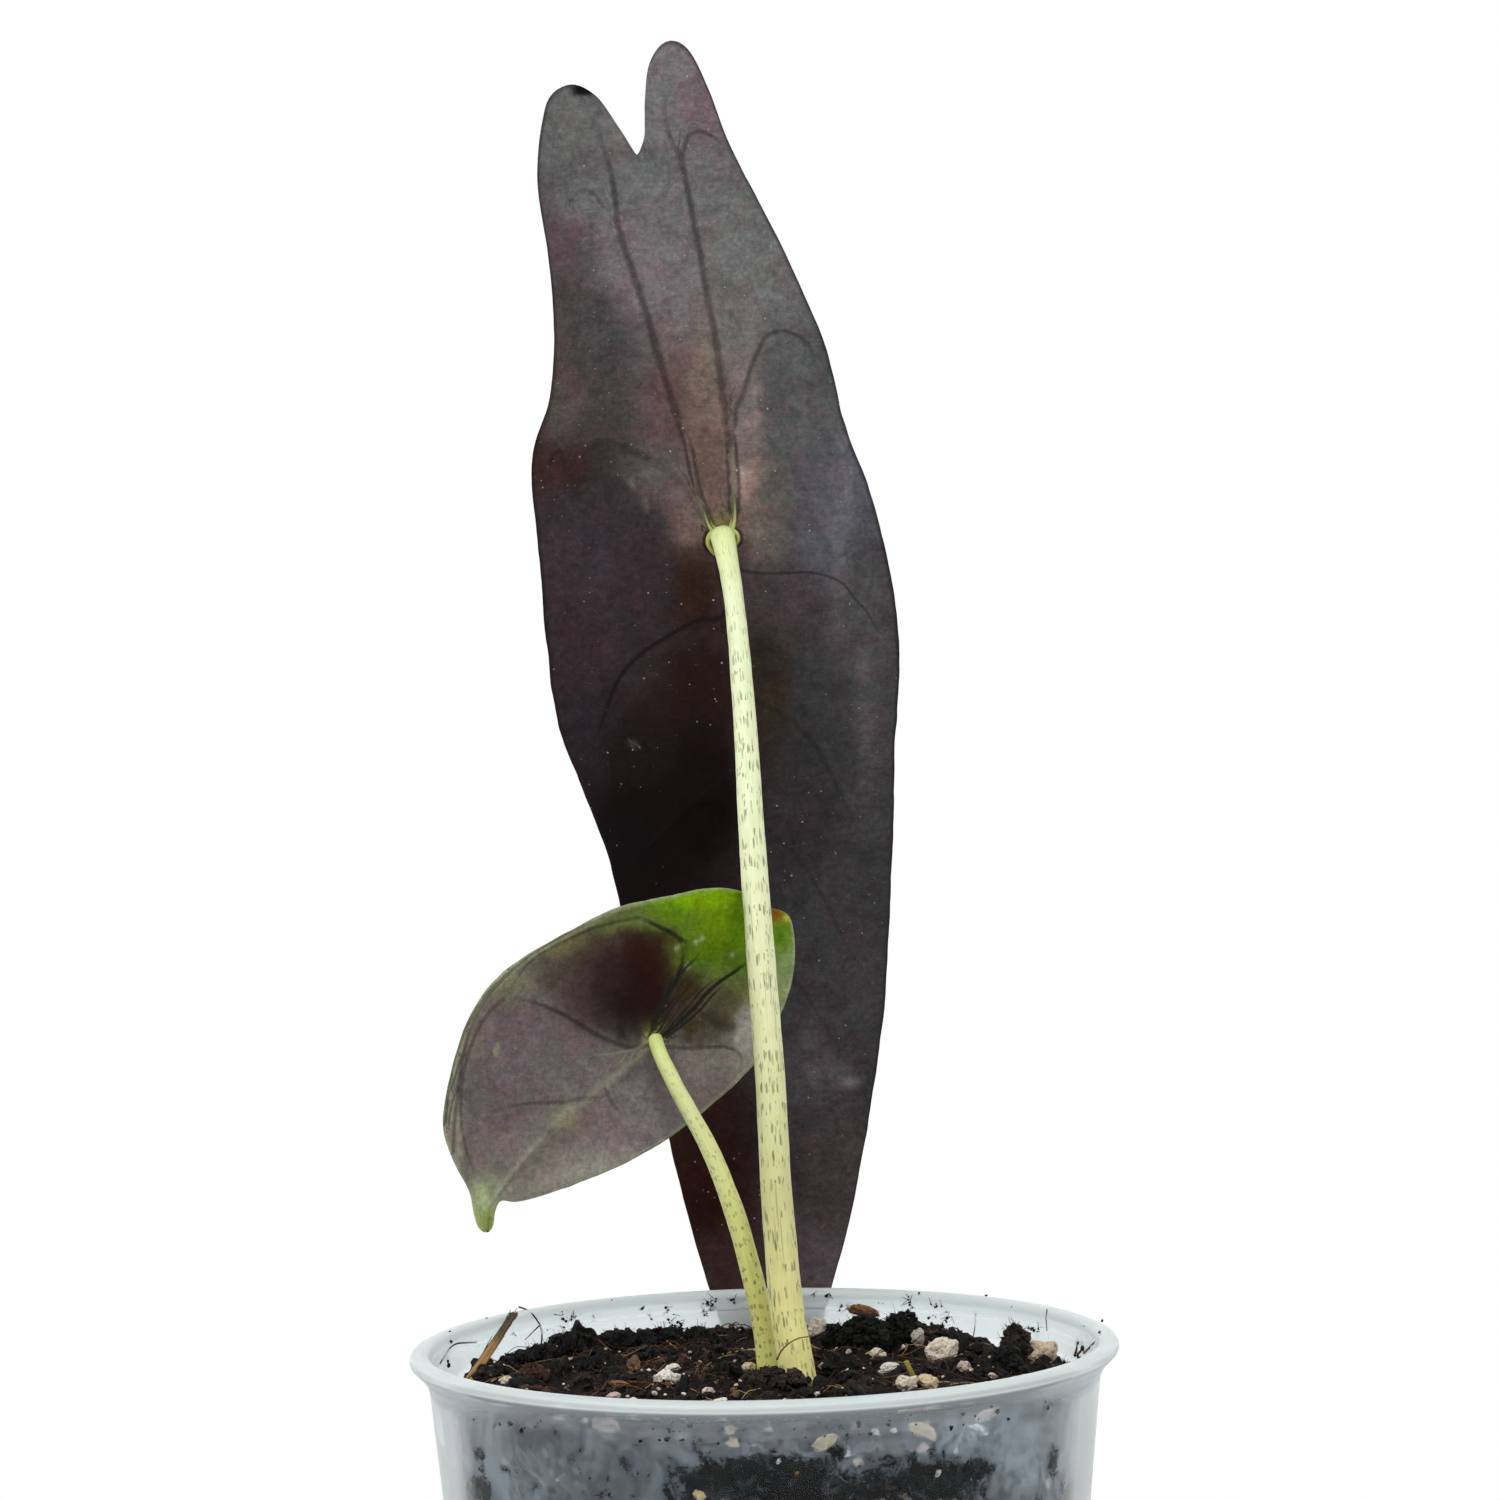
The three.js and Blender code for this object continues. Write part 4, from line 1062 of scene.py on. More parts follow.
# Where the mix lies against the wall: [px, py, reach across, reach up, how firmly]
TOUCHES = [
    (735, 1488, 46, 26, 1.0), (705, 1492, 18, 22, 0.6), (765, 1478, 30, 22, 0.7),
    (820, 1490, 40, 26, 0.9), (800, 1468, 30, 10, 0.5), (835, 1452, 12, 10, 0.5),
    (866, 1492, 24, 16, 0.5), (905, 1484, 30, 22, 0.9), (950, 1484, 34, 22, 0.9), (905, 1460, 26, 8, 0.6),
    (975, 1468, 24, 8, 0.6), (1050, 1455, 6, 22, 0.75), (1068, 1494, 8, 12, 0.6), (630, 1470, 13, 4, 0.9),
    (508, 1469, 7, 4, 0.8), (482, 1453, 6, 9, 0.9), (484, 1486, 12, 14, 0.9), (446, 1430, 4, 22, 0.7),
    (668, 1496, 5, 8, 0.7), (474, 1496, 20, 8, 0.5), (700, 1440, 24, 10, 0.18), (690, 1420, 14, 8, 0.15),
    (596, 1494, 20, 6, 0.4), (1030, 1425, 40, 16, -0.3), (560, 1440, 60, 40, -0.15),
    (1010, 1440, 20, 20, -0.2),
]


# Where the wall is cloudier, and in the tall marks at its left and right edges painted sheen: [px, py,
# reach across, reach up, how much]
MISTS_AND_EDGE_SHEEN = [
    (486, 1440, 34, 100, 0.2), (960, 1432, 44, 26, 0.19), (1030, 1440, 40, 60, 0.08),
    (700, 1440, 26, 14, 0.03), (870, 1440, 60, 14, 0.04), (600, 1450, 60, 40, 0.015),
    (1062, 1440, 22, 100, 0.22), (1020, 1440, 20, 60, 0.1), (456, 1440, 14, 100, 0.1),
    (620, 1414, 30, 14, 0.03), (960, 1412, 50, 10, 0.04),
]


def on_wall(points, marks, total):
    """Adds soft marks on the front wall to a total at each point."""
    for px, py, wide, tall, much in marks:
        place = first_hit(px, py, in_front_wall, -50, 5)
        scale = (place[1] - CAMERA_Y) / FOCAL
        sideways = (points[:, 0] - place[0]) / (wide * scale)
        upright = (points[:, 2] - place[2]) / (tall * scale)
        total = total + much * np.exp(-(sideways**2 + upright**2)) * (points[:, 1] < 0)
    return np.clip(total, 0, 1)


def wall_marks(points):
    """How firmly the mix touches the wall at each point, and how cloudy the wall is, with painted sheen at
    its left and right edges.
    """
    front = points[:, 1] < -20
    deep = np.clip((67 - points[:, 2]) / 12, 0, 1)
    bare = 0.12 + 0.5 * deep + (0.3 - 0.18 * front + 0.45 * deep) * rough(points, 12, 27, 4)
    touch = on_wall(points, TOUCHES, bare)
    mist_and_edge_sheen = on_wall(points, MISTS_AND_EDGE_SHEEN, np.zeros(len(points)))
    return np.stack([touch, mist_and_edge_sheen, 0 * mist_and_edge_sheen], 1)


def pot():
    outer = [(0.01, 0), (FOOT_RADIUS - 1, 0), (FOOT_RADIUS - 0.3, 0.3), (FOOT_RADIUS, 1)]
    outer += [(36.6, 16), (38.2, 32), (39.8, 48), (41.4, 64)]
    neck = [(0.1, 5.2), (-0.05, 4.4), (-0.35, 3.7), (-0.85, 3)]
    outer += [(NECK_RADIUS - inward, POT_HEIGHT - down) for inward, down in neck]
    rim = [
        (1, 2.4), (0.5, 1.9), (0.15, 1.55), (0.02, 1.2), (0.08, 0.8), (0.3, 0.45), (0.7, 0.25),
        (1.2, 0.05), (1.7, 0.02), (2.2, 0.2), (2.55, 0.65), (2.7, 1.4), (2.8, 2.2), (2.95, 2.5),
    ]
    outer += [(RIM_RADIUS - inward, POT_HEIGHT - down) for inward, down in rim]
    inner = [(inner_radius(z), z) for z in np.linspace(STEP_Z, FLOOR + 0.6, 58)]
    inner += [(inner_radius(FLOOR) - 0.5, FLOOR), (0.01, FLOOR)]
    profile = outer + inner
    turn = np.linspace(0, 2 * math.pi, POT_SIDES, endpoint=False)
    points = np.array([[r * math.cos(t), r * math.sin(t), z] for r, z in profile for t in turn])
    faces = ring_faces(len(profile), POT_SIDES)
    kinds = [0] * (len(outer) * POT_SIDES) + [1] * ((len(inner) - 1) * POT_SIDES) + [0, 1]
    looks = [OUTER_FROSTED, INNER_FROSTED]
    made = piece("nursery_pot", points, faces, looks, wall_marks(points), replaces=["pot"])
    made.data.polygons.foreach_set("material_index", kinds)


pot()

# Potting mix: a crumbly body, with crumbs, perlite grains, bark and fibres lying on it

SOIL_Z = 74.6
# Each mound is [x, y, height, reach].
MOUNDS = [
    (1.2, -8.5, 0.8, 3), (-25, 26, 1.1, 9), (-34, 12, 0.5, 5), (-6, 34, 0.4, 8), (19, 28, 1.9, 6),
    (32, 22, -0.8, 5), (6, 14, 0.6, 6), (5, 0, -0.9, 4), (8, -4.5, -0.9, 2.6),
]


def mix_height(x, y):
    z = SOIL_Z + 0.45 * (np.sin(0.72 * x + 0.3 * y) + np.sin(0.68 * y - 0.4 * x + 1))
    for mound_x, mound_y, height, reach in MOUNDS:
        z = z + height * np.exp(-((x - mound_x) ** 2 + (y - mound_y) ** 2) / reach**2)
    beside = np.clip((np.abs(x) - 37) / 3, 0, 1)
    before = np.clip((np.hypot(x, y) - 37.5) / 2.5, 0, 1) * np.clip((-15 - y) / 6, 0, 1)
    return z - 1.3 * np.maximum(beside, before)


def ring_start(k):
    """How many points of a disc lie inside its ring k, where ring k has 6 k points."""
    return 0 if k == 0 else 1 + 3 * k * (k - 1)


def mix_body():
    rings, floor_z = 84, FLOOR + 0.3
    edge = inner_radius(SOIL_Z) - 0.35
    points = [[0, 0, 0]]
    for k in range(1, rings + 1):
        turn = np.linspace(0, 2 * math.pi, 6 * k, endpoint=False)
        r = edge * k / rings
        points += np.stack([r * np.cos(turn), r * np.sin(turn), 0 * turn], 1).tolist()
    top = np.array(points)
    bumps = 0.55 * rough(top, 2.6, 71, 3) + 0.25 * rough(top, 0.9, 73, 2)
    top[:, 2] = mix_height(top[:, 0], top[:, 1]) + bumps
    faces = []
    for k in range(1, rings + 1):
        for i in range(6 * k):
            inner = i - i // k
            outer_next = ring_start(k) + (i + 1) % (6 * k)
            inner_at = ring_start(k - 1) + (inner % max(6 * (k - 1), 1))
            faces.append([ring_start(k) + i, outer_next, inner_at])
            if i % k != k - 1:
                inner_next = ring_start(k - 1) + ((inner + 1) % (6 * (k - 1)))
                faces.append([inner_at, outer_next, inner_next])
    sides, levels = 6 * rings, 56
    points = [top]
    last = ring_start(rings)
    turn = np.linspace(0, 2 * math.pi, sides, endpoint=False)
    for k in range(1, levels + 1):
        share = k / levels
        z = top[last:, 2] * (1 - share) + floor_z * share
        r = inner_radius(z) - 0.3
        ring = np.stack([r * np.cos(turn), r * np.sin(turn), z], 1)
        dent = np.clip(0.25 + 0.9 * rough(ring, 5, 77, 3), 0, 1.2) * min(1, 4 * (1 - share))
        points.append(ring - dent[:, None] * np.stack([np.cos(turn), np.sin(turn), 0 * turn], 1))
        before = last if k == 1 else len(top) + (k - 2) * sides
        now = len(top) + (k - 1) * sides
        for i in range(sides):
            j = (i + 1) % sides
            faces.append([now + i, now + j, before + j, before + i])
    points = np.vstack(points)
    faces.append([len(points) - sides + i for i in reversed(range(sides))])
    shade = np.clip(0.5 + 0.8 * rough(points, 6, 81, 2), 0, 1)[:, None]
    tone = blend((12, 11, 10), (36, 28, 23), shade)
    # Below its surface the mix is painted darker and bluish: painted shade on its sides inside the pot,
    # with a bluish cast from the cloudy wall.
    tone *= np.where(points[:, 2:] < SOIL_Z - 2.5, [0.4, 0.46, 0.5], 1)
    piece("mix", points, faces, MIX, tone, replaces=["soil"])


mix_body()
EDGE = inner_radius(SOIL_Z) - 1.2


def scattered(count, reach=EDGE):
    turn = rng.uniform(0, 2 * math.pi, count)
    r = reach * np.sqrt(rng.uniform(0, 1, count))
    return r * np.cos(turn), r * np.sin(turn)


def tones(count, palette, weights, spread=0.2):
    """A colour for each of count lumps, from a palette."""
    chosen = srgb(np.array(palette)[rng.choice(len(palette), count, p=weights)])
    return chosen * rng.uniform(1 - spread, 1 + spread, (count, 1))


# Each grain that shows above the rim is [px, py, width in pixels, height in pixels, colour].
CREAM, WHITE, TAN, PINK = (230, 218, 198), (236, 232, 224), (212, 192, 164), (214, 190, 180)
PERLITE_SEEN = [
    (667, 1378, 26, 18, WHITE), (673, 1366, 15, 8, WHITE), (685, 1376, 10, 8, WHITE),
    (708, 1390, 14, 9, CREAM), (749, 1366, 14, 11, TAN), (614, 1394, 14, 7, PINK),
    (507, 1379, 14, 9, CREAM), (568, 1386, 6, 5, WHITE), (638, 1361, 6, 5, PINK),
    (817, 1327, 18, 20, CREAM), (917, 1336, 14, 17, (190, 180, 172)), (941, 1350, 33, 25, CREAM),
    (878, 1354, 22, 13, CREAM), (889, 1367, 21, 11, WHITE), (964, 1365, 14, 12, PINK),
    (906, 1383, 24, 17, CREAM), (928, 1380, 22, 13, (226, 206, 168)), (1040, 1354, 36, 26, TAN),
    (903, 1345, 4, 4, WHITE), (817, 1392, 6, 5, WHITE), (823, 1365, 10, 8, TAN),
    (857, 1384, 8, 7, (150, 138, 128)), (992, 1374, 9, 6, PINK), (1025, 1371, 9, 4, TAN),
    (655, 1391, 6, 4, CREAM), (848, 1350, 6, 5, PINK),
]


def in_mix(x, y, z):
    return math.hypot(x, y) < EDGE and z < mix_height(x, y)


def seen_grains():
    """The place, size and colour of each perlite grain that shows above the rim."""
    grains = []
    for px, py, wide, tall, tone in PERLITE_SEEN:
        place = first_hit(px, py + 0.3 * tall, in_mix, -14, 41)
        if place is not None:
            scale = (place[1] - CAMERA_Y) / FOCAL
            size = np.array([0.5 * wide, 0.45 * (wide + tall) / 2, 0.5 * tall]) * scale
            grains.append((place + [0, size[1] * 0.6 - 1.6, 0.3 * tall * scale], size, tone, 3))
    return grains


GRAINS = seen_grains()
CRUMB_TONES = [(12, 12, 11), (22, 19, 16), (40, 31, 25), (68, 50, 38), (118, 92, 66)]


def crumb_piece(name, places, sizes, levels, raggedness, seed, weights=(), spread=0.2, tone=None):
    """Crumbs of the mix in one piece, with tones of their own or drawn from the palette."""
    points, triangles = lumps(places, sizes, levels, raggedness, seed)
    if tone is None:
        tone = tones(len(places), CRUMB_TONES, weights, spread)
    tone = np.repeat(tone, points.shape[1], axis=0)
    piece(name, points.reshape(-1, 3), triangles, CRUMB, tone, smooth=False)


def mix_crumbs(name, count, low, high, levels, raggedness, seed, weights):
    x, y = scattered(count)
    size = rng.uniform(0, 1, count) ** 2 * (high - low) + low
    z = mix_height(x, y) + 0.25 * size
    clear = (np.hypot(x - 4.1, y) > 2.4 + size) & (np.hypot(x - 0.3, y - 6) > 1.5 + size)
    clear &= np.hypot(x, y) + size < inner_radius(SOIL_Z) - np.where(y < -20, 2.6, 0.1)
    for place, grain, _, _ in GRAINS:
        off = np.hypot((x - place[0]) / (grain[0] + size), (y - place[1] + 2.5) / (3 + size))
        clear &= (off > 1) | (size < 0.45)
    x, y, z, size = x[clear], y[clear], z[clear], size[clear]
    sizes = size[:, None] * rng.uniform([0.7, 0.6, 0.45], [1.3, 1, 0.75], (len(x), 3))
    crumb_piece(name, np.stack([x, y, z], 1), sizes, levels, raggedness, seed, weights, 0.35)


mix_crumbs("mix_crumbs", 1300, 0.3, 1.1, 1, 0.95, 5, [0.48, 0.28, 0.14, 0.07, 0.03])
mix_crumbs("mix_lumps", 120, 0.9, 1.9, 2, 0.85, 7, [0.5, 0.3, 0.15, 0.04, 0.01])
mix_crumbs("mix_grit", 4000, 0.14, 0.45, 0, 0.6, 9, [0.34, 0.22, 0.18, 0.15, 0.11])


def side_crumbs(count):
    """Crumbs that lie between the body of the mix and the wall."""
    turn, z = rng.uniform(0, 2 * math.pi, count), rng.uniform(2.5, SOIL_Z - 1, count)
    size = rng.uniform(0.25, 0.8, count)
    r = inner_radius(z) - 0.25 - size * rng.uniform(0.7, 1.2, count)
    sizes = size[:, None] * rng.uniform([0.7, 0.7, 0.5], [1.2, 1.1, 1], (count, 3))
    places = np.stack([r * np.cos(turn), r * np.sin(turn), z], 1)
    crumb_piece("mix_side_crumbs", places, sizes, 0, 0.8, 21, [0.4, 0.26, 0.18, 0.1, 0.06])


side_crumbs(2600)


def in_far_wall(x, y, z):
    """Inside the wall or the rim, met from inside the pot or from above."""
    r = math.hypot(x, y)
    face = inner_radius(z) if z < STEP_Z else RIM_RADIUS - 2.7
    return face < r < RIM_RADIUS and z < POT_HEIGHT - 0.1


def place_on(surface, px, py):
    """The place that shows at a pixel on the mix, on the wall behind it, or at a given depth."""
    if surface == "mix":
        return first_hit(px, py, in_mix, -14, 41)
    if surface == "wall":
        return first_hit(px, py, in_far_wall, -44, 47)
    return seen_at(px, py, surface)


# Clumps of fine black peat and root hair: each is [px and py of its foot, width and height in pixels,
# colour, number of crumbs, number of hairs].
BLACK, UMBER_PEAT, RUST = (16, 17, 15), (42, 33, 27), (70, 45, 37)
CLUMPS = [
    (512, 1369, 28, 12, BLACK, 50, 30), (540, 1362, 40, 18, BLACK, 120, 70),
    (572, 1353, 46, 24, BLACK, 160, 100), (618, 1348, 44, 18, BLACK, 120, 80),
    (664, 1344, 42, 16, BLACK, 90, 70), (700, 1340, 34, 12, BLACK, 60, 50),
    (600, 1372, 60, 14, BLACK, 90, 40), (650, 1360, 44, 10, BLACK, 60, 30),
    (534, 1384, 34, 20, RUST, 130, 30), (486, 1378, 20, 12, UMBER_PEAT, 30, 12),
    (772, 1388, 72, 17, UMBER_PEAT, 200, 60), (724, 1378, 30, 12, BLACK, 50, 20),
    (838, 1352, 34, 30, BLACK, 90, 40), (868, 1350, 56, 40, BLACK, 240, 110),
    (902, 1344, 40, 38, BLACK, 160, 80), (906, 1320, 22, 22, BLACK, 60, 60),
    (840, 1376, 44, 20, BLACK, 100, 50), (866, 1392, 50, 10, UMBER_PEAT, 70, 30),
    (1006, 1374, 34, 34, BLACK, 140, 60), (1016, 1361, 28, 46, UMBER_PEAT, 150, 160),
    (962, 1358, 26, 10, BLACK, 40, 20), (990, 1380, 40, 10, BLACK, 60, 20),
    (1062, 1372, 20, 8, BLACK, 30, 14),
]


def clumps():
    cores, crumbs, specks, hairs = [], [], [], []
    for px, py, wide, tall, colour, count, hair_count in CLUMPS:
        place = place_on("mix", px, py)
        if place is None:
            continue
        scale = (place[1] - CAMERA_Y) / FOCAL
        reach = np.array([0.46 * wide, 0.34 * wide, 0.46 * tall]) * scale
        reach[1] = min(reach[1], 3)
        centre = place + [0, reach[1] * 0.8, 0.3 * tall * scale]
        most = inner_radius(SOIL_Z) - 0.9
        inside = (most - 0.55 * max(reach[:2])) / math.hypot(*centre[:2])
        centre[:2] *= min(1, inside)
        few = round(0.55 * count)
        way = rng.normal(size=(3 * few, 3))
        way /= np.linalg.norm(way, axis=1, keepdims=True)
        spots = centre + way * reach * rng.uniform(0.25, 1, (3 * few, 1)) ** 0.4
        spots[few:] += rng.normal(0, 0.12, (2 * few, 3))
        r = np.hypot(spots[:, 0], spots[:, 1])
        spots[:, :2] *= np.minimum(1, most / r)[:, None]
        shade = srgb(colour) * rng.uniform(0.5, 2, (3 * few, 1)) * rng.uniform(0.92, 1.08, (3 * few, 3))
        cores.append((centre, reach * 0.55, srgb(colour)))
        sizes = rng.uniform(0.25, 0.7, (few, 1)) * rng.uniform(0.7, 1.3, (few, 3))
        crumbs.append((spots[:few], sizes, shade[:few]))
        sizes = rng.uniform(0.08, 0.26, (2 * few, 1)) * rng.uniform(0.5, 1.5, (2 * few, 3))
        specks.append((spots[few:], sizes, shade[few:]))
        for _ in range(hair_count):
            out = rng.normal(size=3) + [0, 0, 0.5]
            out /= np.linalg.norm(out)
            root = centre + out * reach * 0.8
            bend = rng.normal(0, 0.4, 3)
            length = rng.uniform(0.4, 1.3)
            places = [root + out * length * k / 3 + bend * (k / 3) ** 2 for k in range(4)]
            if max(math.hypot(*one[:2]) for one in places) < most:
                dark = [(18, 16, 15), (40, 30, 24), (92, 66, 44)][rng.choice(3, p=[0.6, 0.28, 0.12])]
                hairs.append([places, rng.uniform(0.035, 0.065), 0.02, dark, dark])
    for name, bodies, levels, raggedness in (
        ("mix_clump_cores", cores, 3, 0.5),
        ("mix_clumps", crumbs, 1, 0.9),
        ("mix_clump_specks", specks, 0, 0.8),
    ):
        places, sizes, tone = (np.vstack(rows) for rows in zip(*bodies))
        crumb_piece(name, places, sizes, levels, raggedness, 5, tone=tone)
    threads("mix_clump_hairs", hairs, FIBRE, 3, (), 1)


clumps()


def wall_crumbs():
    """Specks and small tufts of peat that stick to the wall and the rim."""
    places, sizes, hairs = [], [], []
    for px, py, wide, tall in TUFTS:
        for _ in range(max(1, wide * tall // 11)):
            at = rng.normal(0, 0.28, 2) * [wide, tall]
            spot = place_on("wall", px + at[0], py + at[1])
            if spot is not None:
                places.append(spot - [0, 0.05, 0])
                sizes.append(rng.uniform(0.07, 0.2) * rng.uniform(0.5, 1.4, 3))
                if rng.uniform() < 0.5 and wide > 6:
                    way = rng.normal(size=3) * [1, 0.2, 1]
                    way /= np.linalg.norm(way)
                    line = [spot, spot + 0.5 * way, spot + way - [0, 0.1, 0]]
                    hairs.append([line, 0.06, 0.03, BLACK, BLACK])
    for _ in range(150):
        turn, z = rng.uniform(0, 2 * math.pi), rng.uniform(SOIL_Z, STEP_Z)
        if math.sin(turn) > 0.2:
            continue
        r = inner_radius(z) - 0.08
        places.append(np.array([r * math.cos(turn), r * math.sin(turn), z]))
        sizes.append(rng.uniform(0.08, 0.3) * rng.uniform(0.6, 1.4, 3))
    crumb_piece("wall_crumbs", places, sizes, 1, 0.8, 19, [0.6, 0.3, 0.1, 0, 0])
    threads("wall_crumb_hairs", hairs, FIBRE, 3)


# Each tuft on the wall is [px, py, width, height in pixels].
TUFTS = [
    (571, 1319, 18, 9), (593, 1321, 5, 10), (563, 1314, 5, 6), (641, 1308, 6, 6), (650, 1317, 6, 8),
    (672, 1322, 16, 8), (668, 1310, 8, 8), (680, 1326, 8, 8), (711, 1304, 15, 16), (704, 1312, 8, 6),
    (733, 1302, 7, 7), (812, 1295, 7, 4), (828, 1295, 8, 6), (845, 1308, 10, 8), (881, 1302, 6, 5),
    (908, 1300, 10, 12), (920, 1291, 4, 4), (935, 1304, 8, 8), (933, 1314, 6, 6), (948, 1318, 9, 10),
    (983, 1295, 5, 6), (1035, 1330, 16, 8), (1084, 1326, 3, 3), (1102, 1321, 3, 3), (1100, 1332, 2, 2),
    (451, 1333, 3, 3), (451, 1342, 3, 3), (486, 1320, 3, 3), (514, 1334, 6, 7), (1077, 1310, 2, 2),
    (1012, 1306, 4, 4), (610, 1300, 3, 3), (548, 1331, 4, 4),
]
wall_crumbs()

# Fibres and roots that can be told apart: each is [what it lies on, or its depth, thick radius,
# thin radius, colour, end colour, the pixels that it passes].
CREAM_ROOT, PALE_ROOT, BROWN_ROOT, DARK_ROOT = (186, 164, 118), (142, 118, 86), (104, 68, 42), (38, 34, 34)
NAMED_FIBRES = [
    ["wall", 0.12, 0.1, DARK_ROOT, DARK_ROOT, (519, 1307), (527, 1310), (534, 1316), (540, 1326),
     (542, 1336), (541, 1346)],
    ["wall", 0.1, 0.05, DARK_ROOT, DARK_ROOT, (539, 1326), (533, 1332), (525, 1340)],
    ["wall", 0.11, 0.09, DARK_ROOT, DARK_ROOT, (476, 1343), (466, 1343), (456, 1344), (449, 1349),
     (445, 1355), (440, 1364)],
    ["wall", 0.07, 0.05, DARK_ROOT, DARK_ROOT, (973, 1338), (975, 1326), (976, 1313)],
    ["wall", 0.07, 0.06, DARK_ROOT, DARK_ROOT, (1047, 1309), (1046, 1318), (1047, 1331)],
    ["wall", 0.24, 0.12, BROWN_ROOT, DARK_ROOT, (1075, 1356), (1077, 1348), (1078, 1340)],
    ["wall", 0.18, 0.1, BROWN_ROOT, DARK_ROOT, (1078, 1354), (1082, 1349), (1083, 1342)],
    ["wall", 0.16, 0.1, BROWN_ROOT, DARK_ROOT, (1084, 1353), (1090, 1347), (1095, 1342)],
    ["mix", 0.17, 0.1, CREAM_ROOT, CREAM_ROOT, (716, 1357), (727, 1354), (740, 1352), (753, 1350),
     (768, 1349)],
    ["mix", 0.14, 0.1, BROWN_ROOT, PALE_ROOT, (702, 1373), (712, 1363), (724, 1357), (738, 1355)],
    ["mix", 0.13, 0.08, RUST, BROWN_ROOT, (662, 1352), (671, 1346), (682, 1347), (692, 1343)],
    ["mix", 0.12, 0.08, BROWN_ROOT, RUST, (664, 1341), (675, 1343), (684, 1349), (690, 1355)],
    ["mix", 0.12, 0.07, BROWN_ROOT, PALE_ROOT, (602, 1390), (612, 1381), (625, 1378), (640, 1380)],
    ["mix", 0.12, 0.07, RUST, BROWN_ROOT, (610, 1394), (622, 1386), (634, 1387), (646, 1392)],
    ["mix", 0.1, 0.07, BROWN_ROOT, BROWN_ROOT, (618, 1376), (630, 1382), (644, 1383), (652, 1378)],
    ["mix", 0.1, 0.06, PALE_ROOT, BROWN_ROOT, (650, 1384), (656, 1374), (664, 1366), (672, 1358)],
    ["mix", 0.1, 0.07, PALE_ROOT, PALE_ROOT, (681, 1339), (700, 1336), (716, 1336), (730, 1336)],
    ["mix", 0.1, 0.07, PALE_ROOT, PALE_ROOT, (641, 1354), (654, 1354), (667, 1357)],
    [-3.4, 0.12, 0.08, BROWN_ROOT, PALE_ROOT, (777, 1360), (780, 1353), (787, 1345), (797, 1339),
     (811, 1336)],
    [-5, 0.3, 0.36, (166, 150, 70), (120, 110, 52), (906, 1361), (908, 1366), (911, 1372), (914, 1378)],
    ["mix", 0.1, 0.06, PALE_ROOT, CREAM_ROOT, (484, 1372), (492, 1376), (500, 1375), (508, 1380)],
    ["mix", 0.1, 0.06, CREAM_ROOT, PALE_ROOT, (492, 1382), (500, 1378), (512, 1377), (518, 1372)],
    ["mix", 0.09, 0.05, PALE_ROOT, PALE_ROOT, (640, 1372), (650, 1364), (661, 1360), (672, 1359)],
    ["mix", 0.09, 0.05, BROWN_ROOT, RUST, (688, 1362), (676, 1356), (668, 1350), (662, 1341)],
    ["mix", 0.09, 0.05, RUST, BROWN_ROOT, (655, 1348), (672, 1342), (690, 1344), (706, 1350)],
    ["mix", 0.08, 0.05, RUST, BROWN_ROOT, (640, 1386), (652, 1376), (664, 1372)],
    ["mix", 0.08, 0.05, BROWN_ROOT, PALE_ROOT, (816, 1340), (826, 1334), (838, 1338), (846, 1350)],
]


def named_fibres():
    lines = []
    for surface, thick, thin, colour, end_colour, *pixels in NAMED_FIBRES:
        places = [place_on(surface, *pixel) for pixel in pixels]
        depths = [place[1] for place in places if place is not None]
        lift = 0.9 * thick + (0.9 if surface == "mix" else 0)
        placed = []
        for pixel, place in zip(pixels, places):
            if place is None:
                place = seen_at(*pixel, depths[-1])
            toward = np.array([0, -0.97, 0.25]) * lift
            placed.append(place + toward)
        lines.append([placed, thick, thin, colour, end_colour])
    return lines


threads("named_fibres", named_fibres(), FIBRE, 8)


def bark_flake(px, py, depth, size, tilt, colour, seed):
    shape, faces = ball(3)
    swell = 1 + 0.4 * rough(shape * [0.7, 2, 2.4] + seed, 0.7, 29, 3)[:, None]
    body = np.sign(shape) * np.abs(shape) ** 0.8 * swell * size
    turn = np.array(Matrix.Rotation(math.radians(tilt), 3, "Y"))
    points = body @ turn.T + seen_at(px, py, depth)
    share = np.clip(0.5 + 1.2 * rough(shape * [0.6, 3, 3] + seed, 0.6, 33, 2), 0, 1)[:, None]
    return points, faces, blend(colour, (150, 112, 78), share)


# Each flake is [px, py, depth, half its length, depth and height, tilt in degrees, colour, seed].
BARK_FLAKES = [
    (864, 1311, 26, (1.9, 0.8, 0.65), 14, (86, 50, 34), 3),
    (508, 1374, 10, (1.2, 0.7, 0.5), -20, (120, 92, 62), 5),
    (1062, 1362, 16, (1.0, 0.6, 0.4), 10, (130, 96, 60), 9),
    (556, 1380, 4, (1.3, 0.8, 0.5), -8, (96, 66, 44), 12),
    (620, 1384, -1, (1.2, 0.7, 0.4), 6, (110, 74, 48), 15),
    (985, 1362, 14, (0.9, 0.6, 0.6), 40, (70, 46, 34), 18),
]
points, faces, tone = joined([bark_flake(*flake) for flake in BARK_FLAKES])
piece("bark_flakes", points, faces, BARK, tone)

# The straw splinter that leans on the rim

SPLINTER_FOOT = np.array((-38.8, 3, 73.6))
SPLINTER_HEAD = np.array((-33.3, 24.2, 80.4))


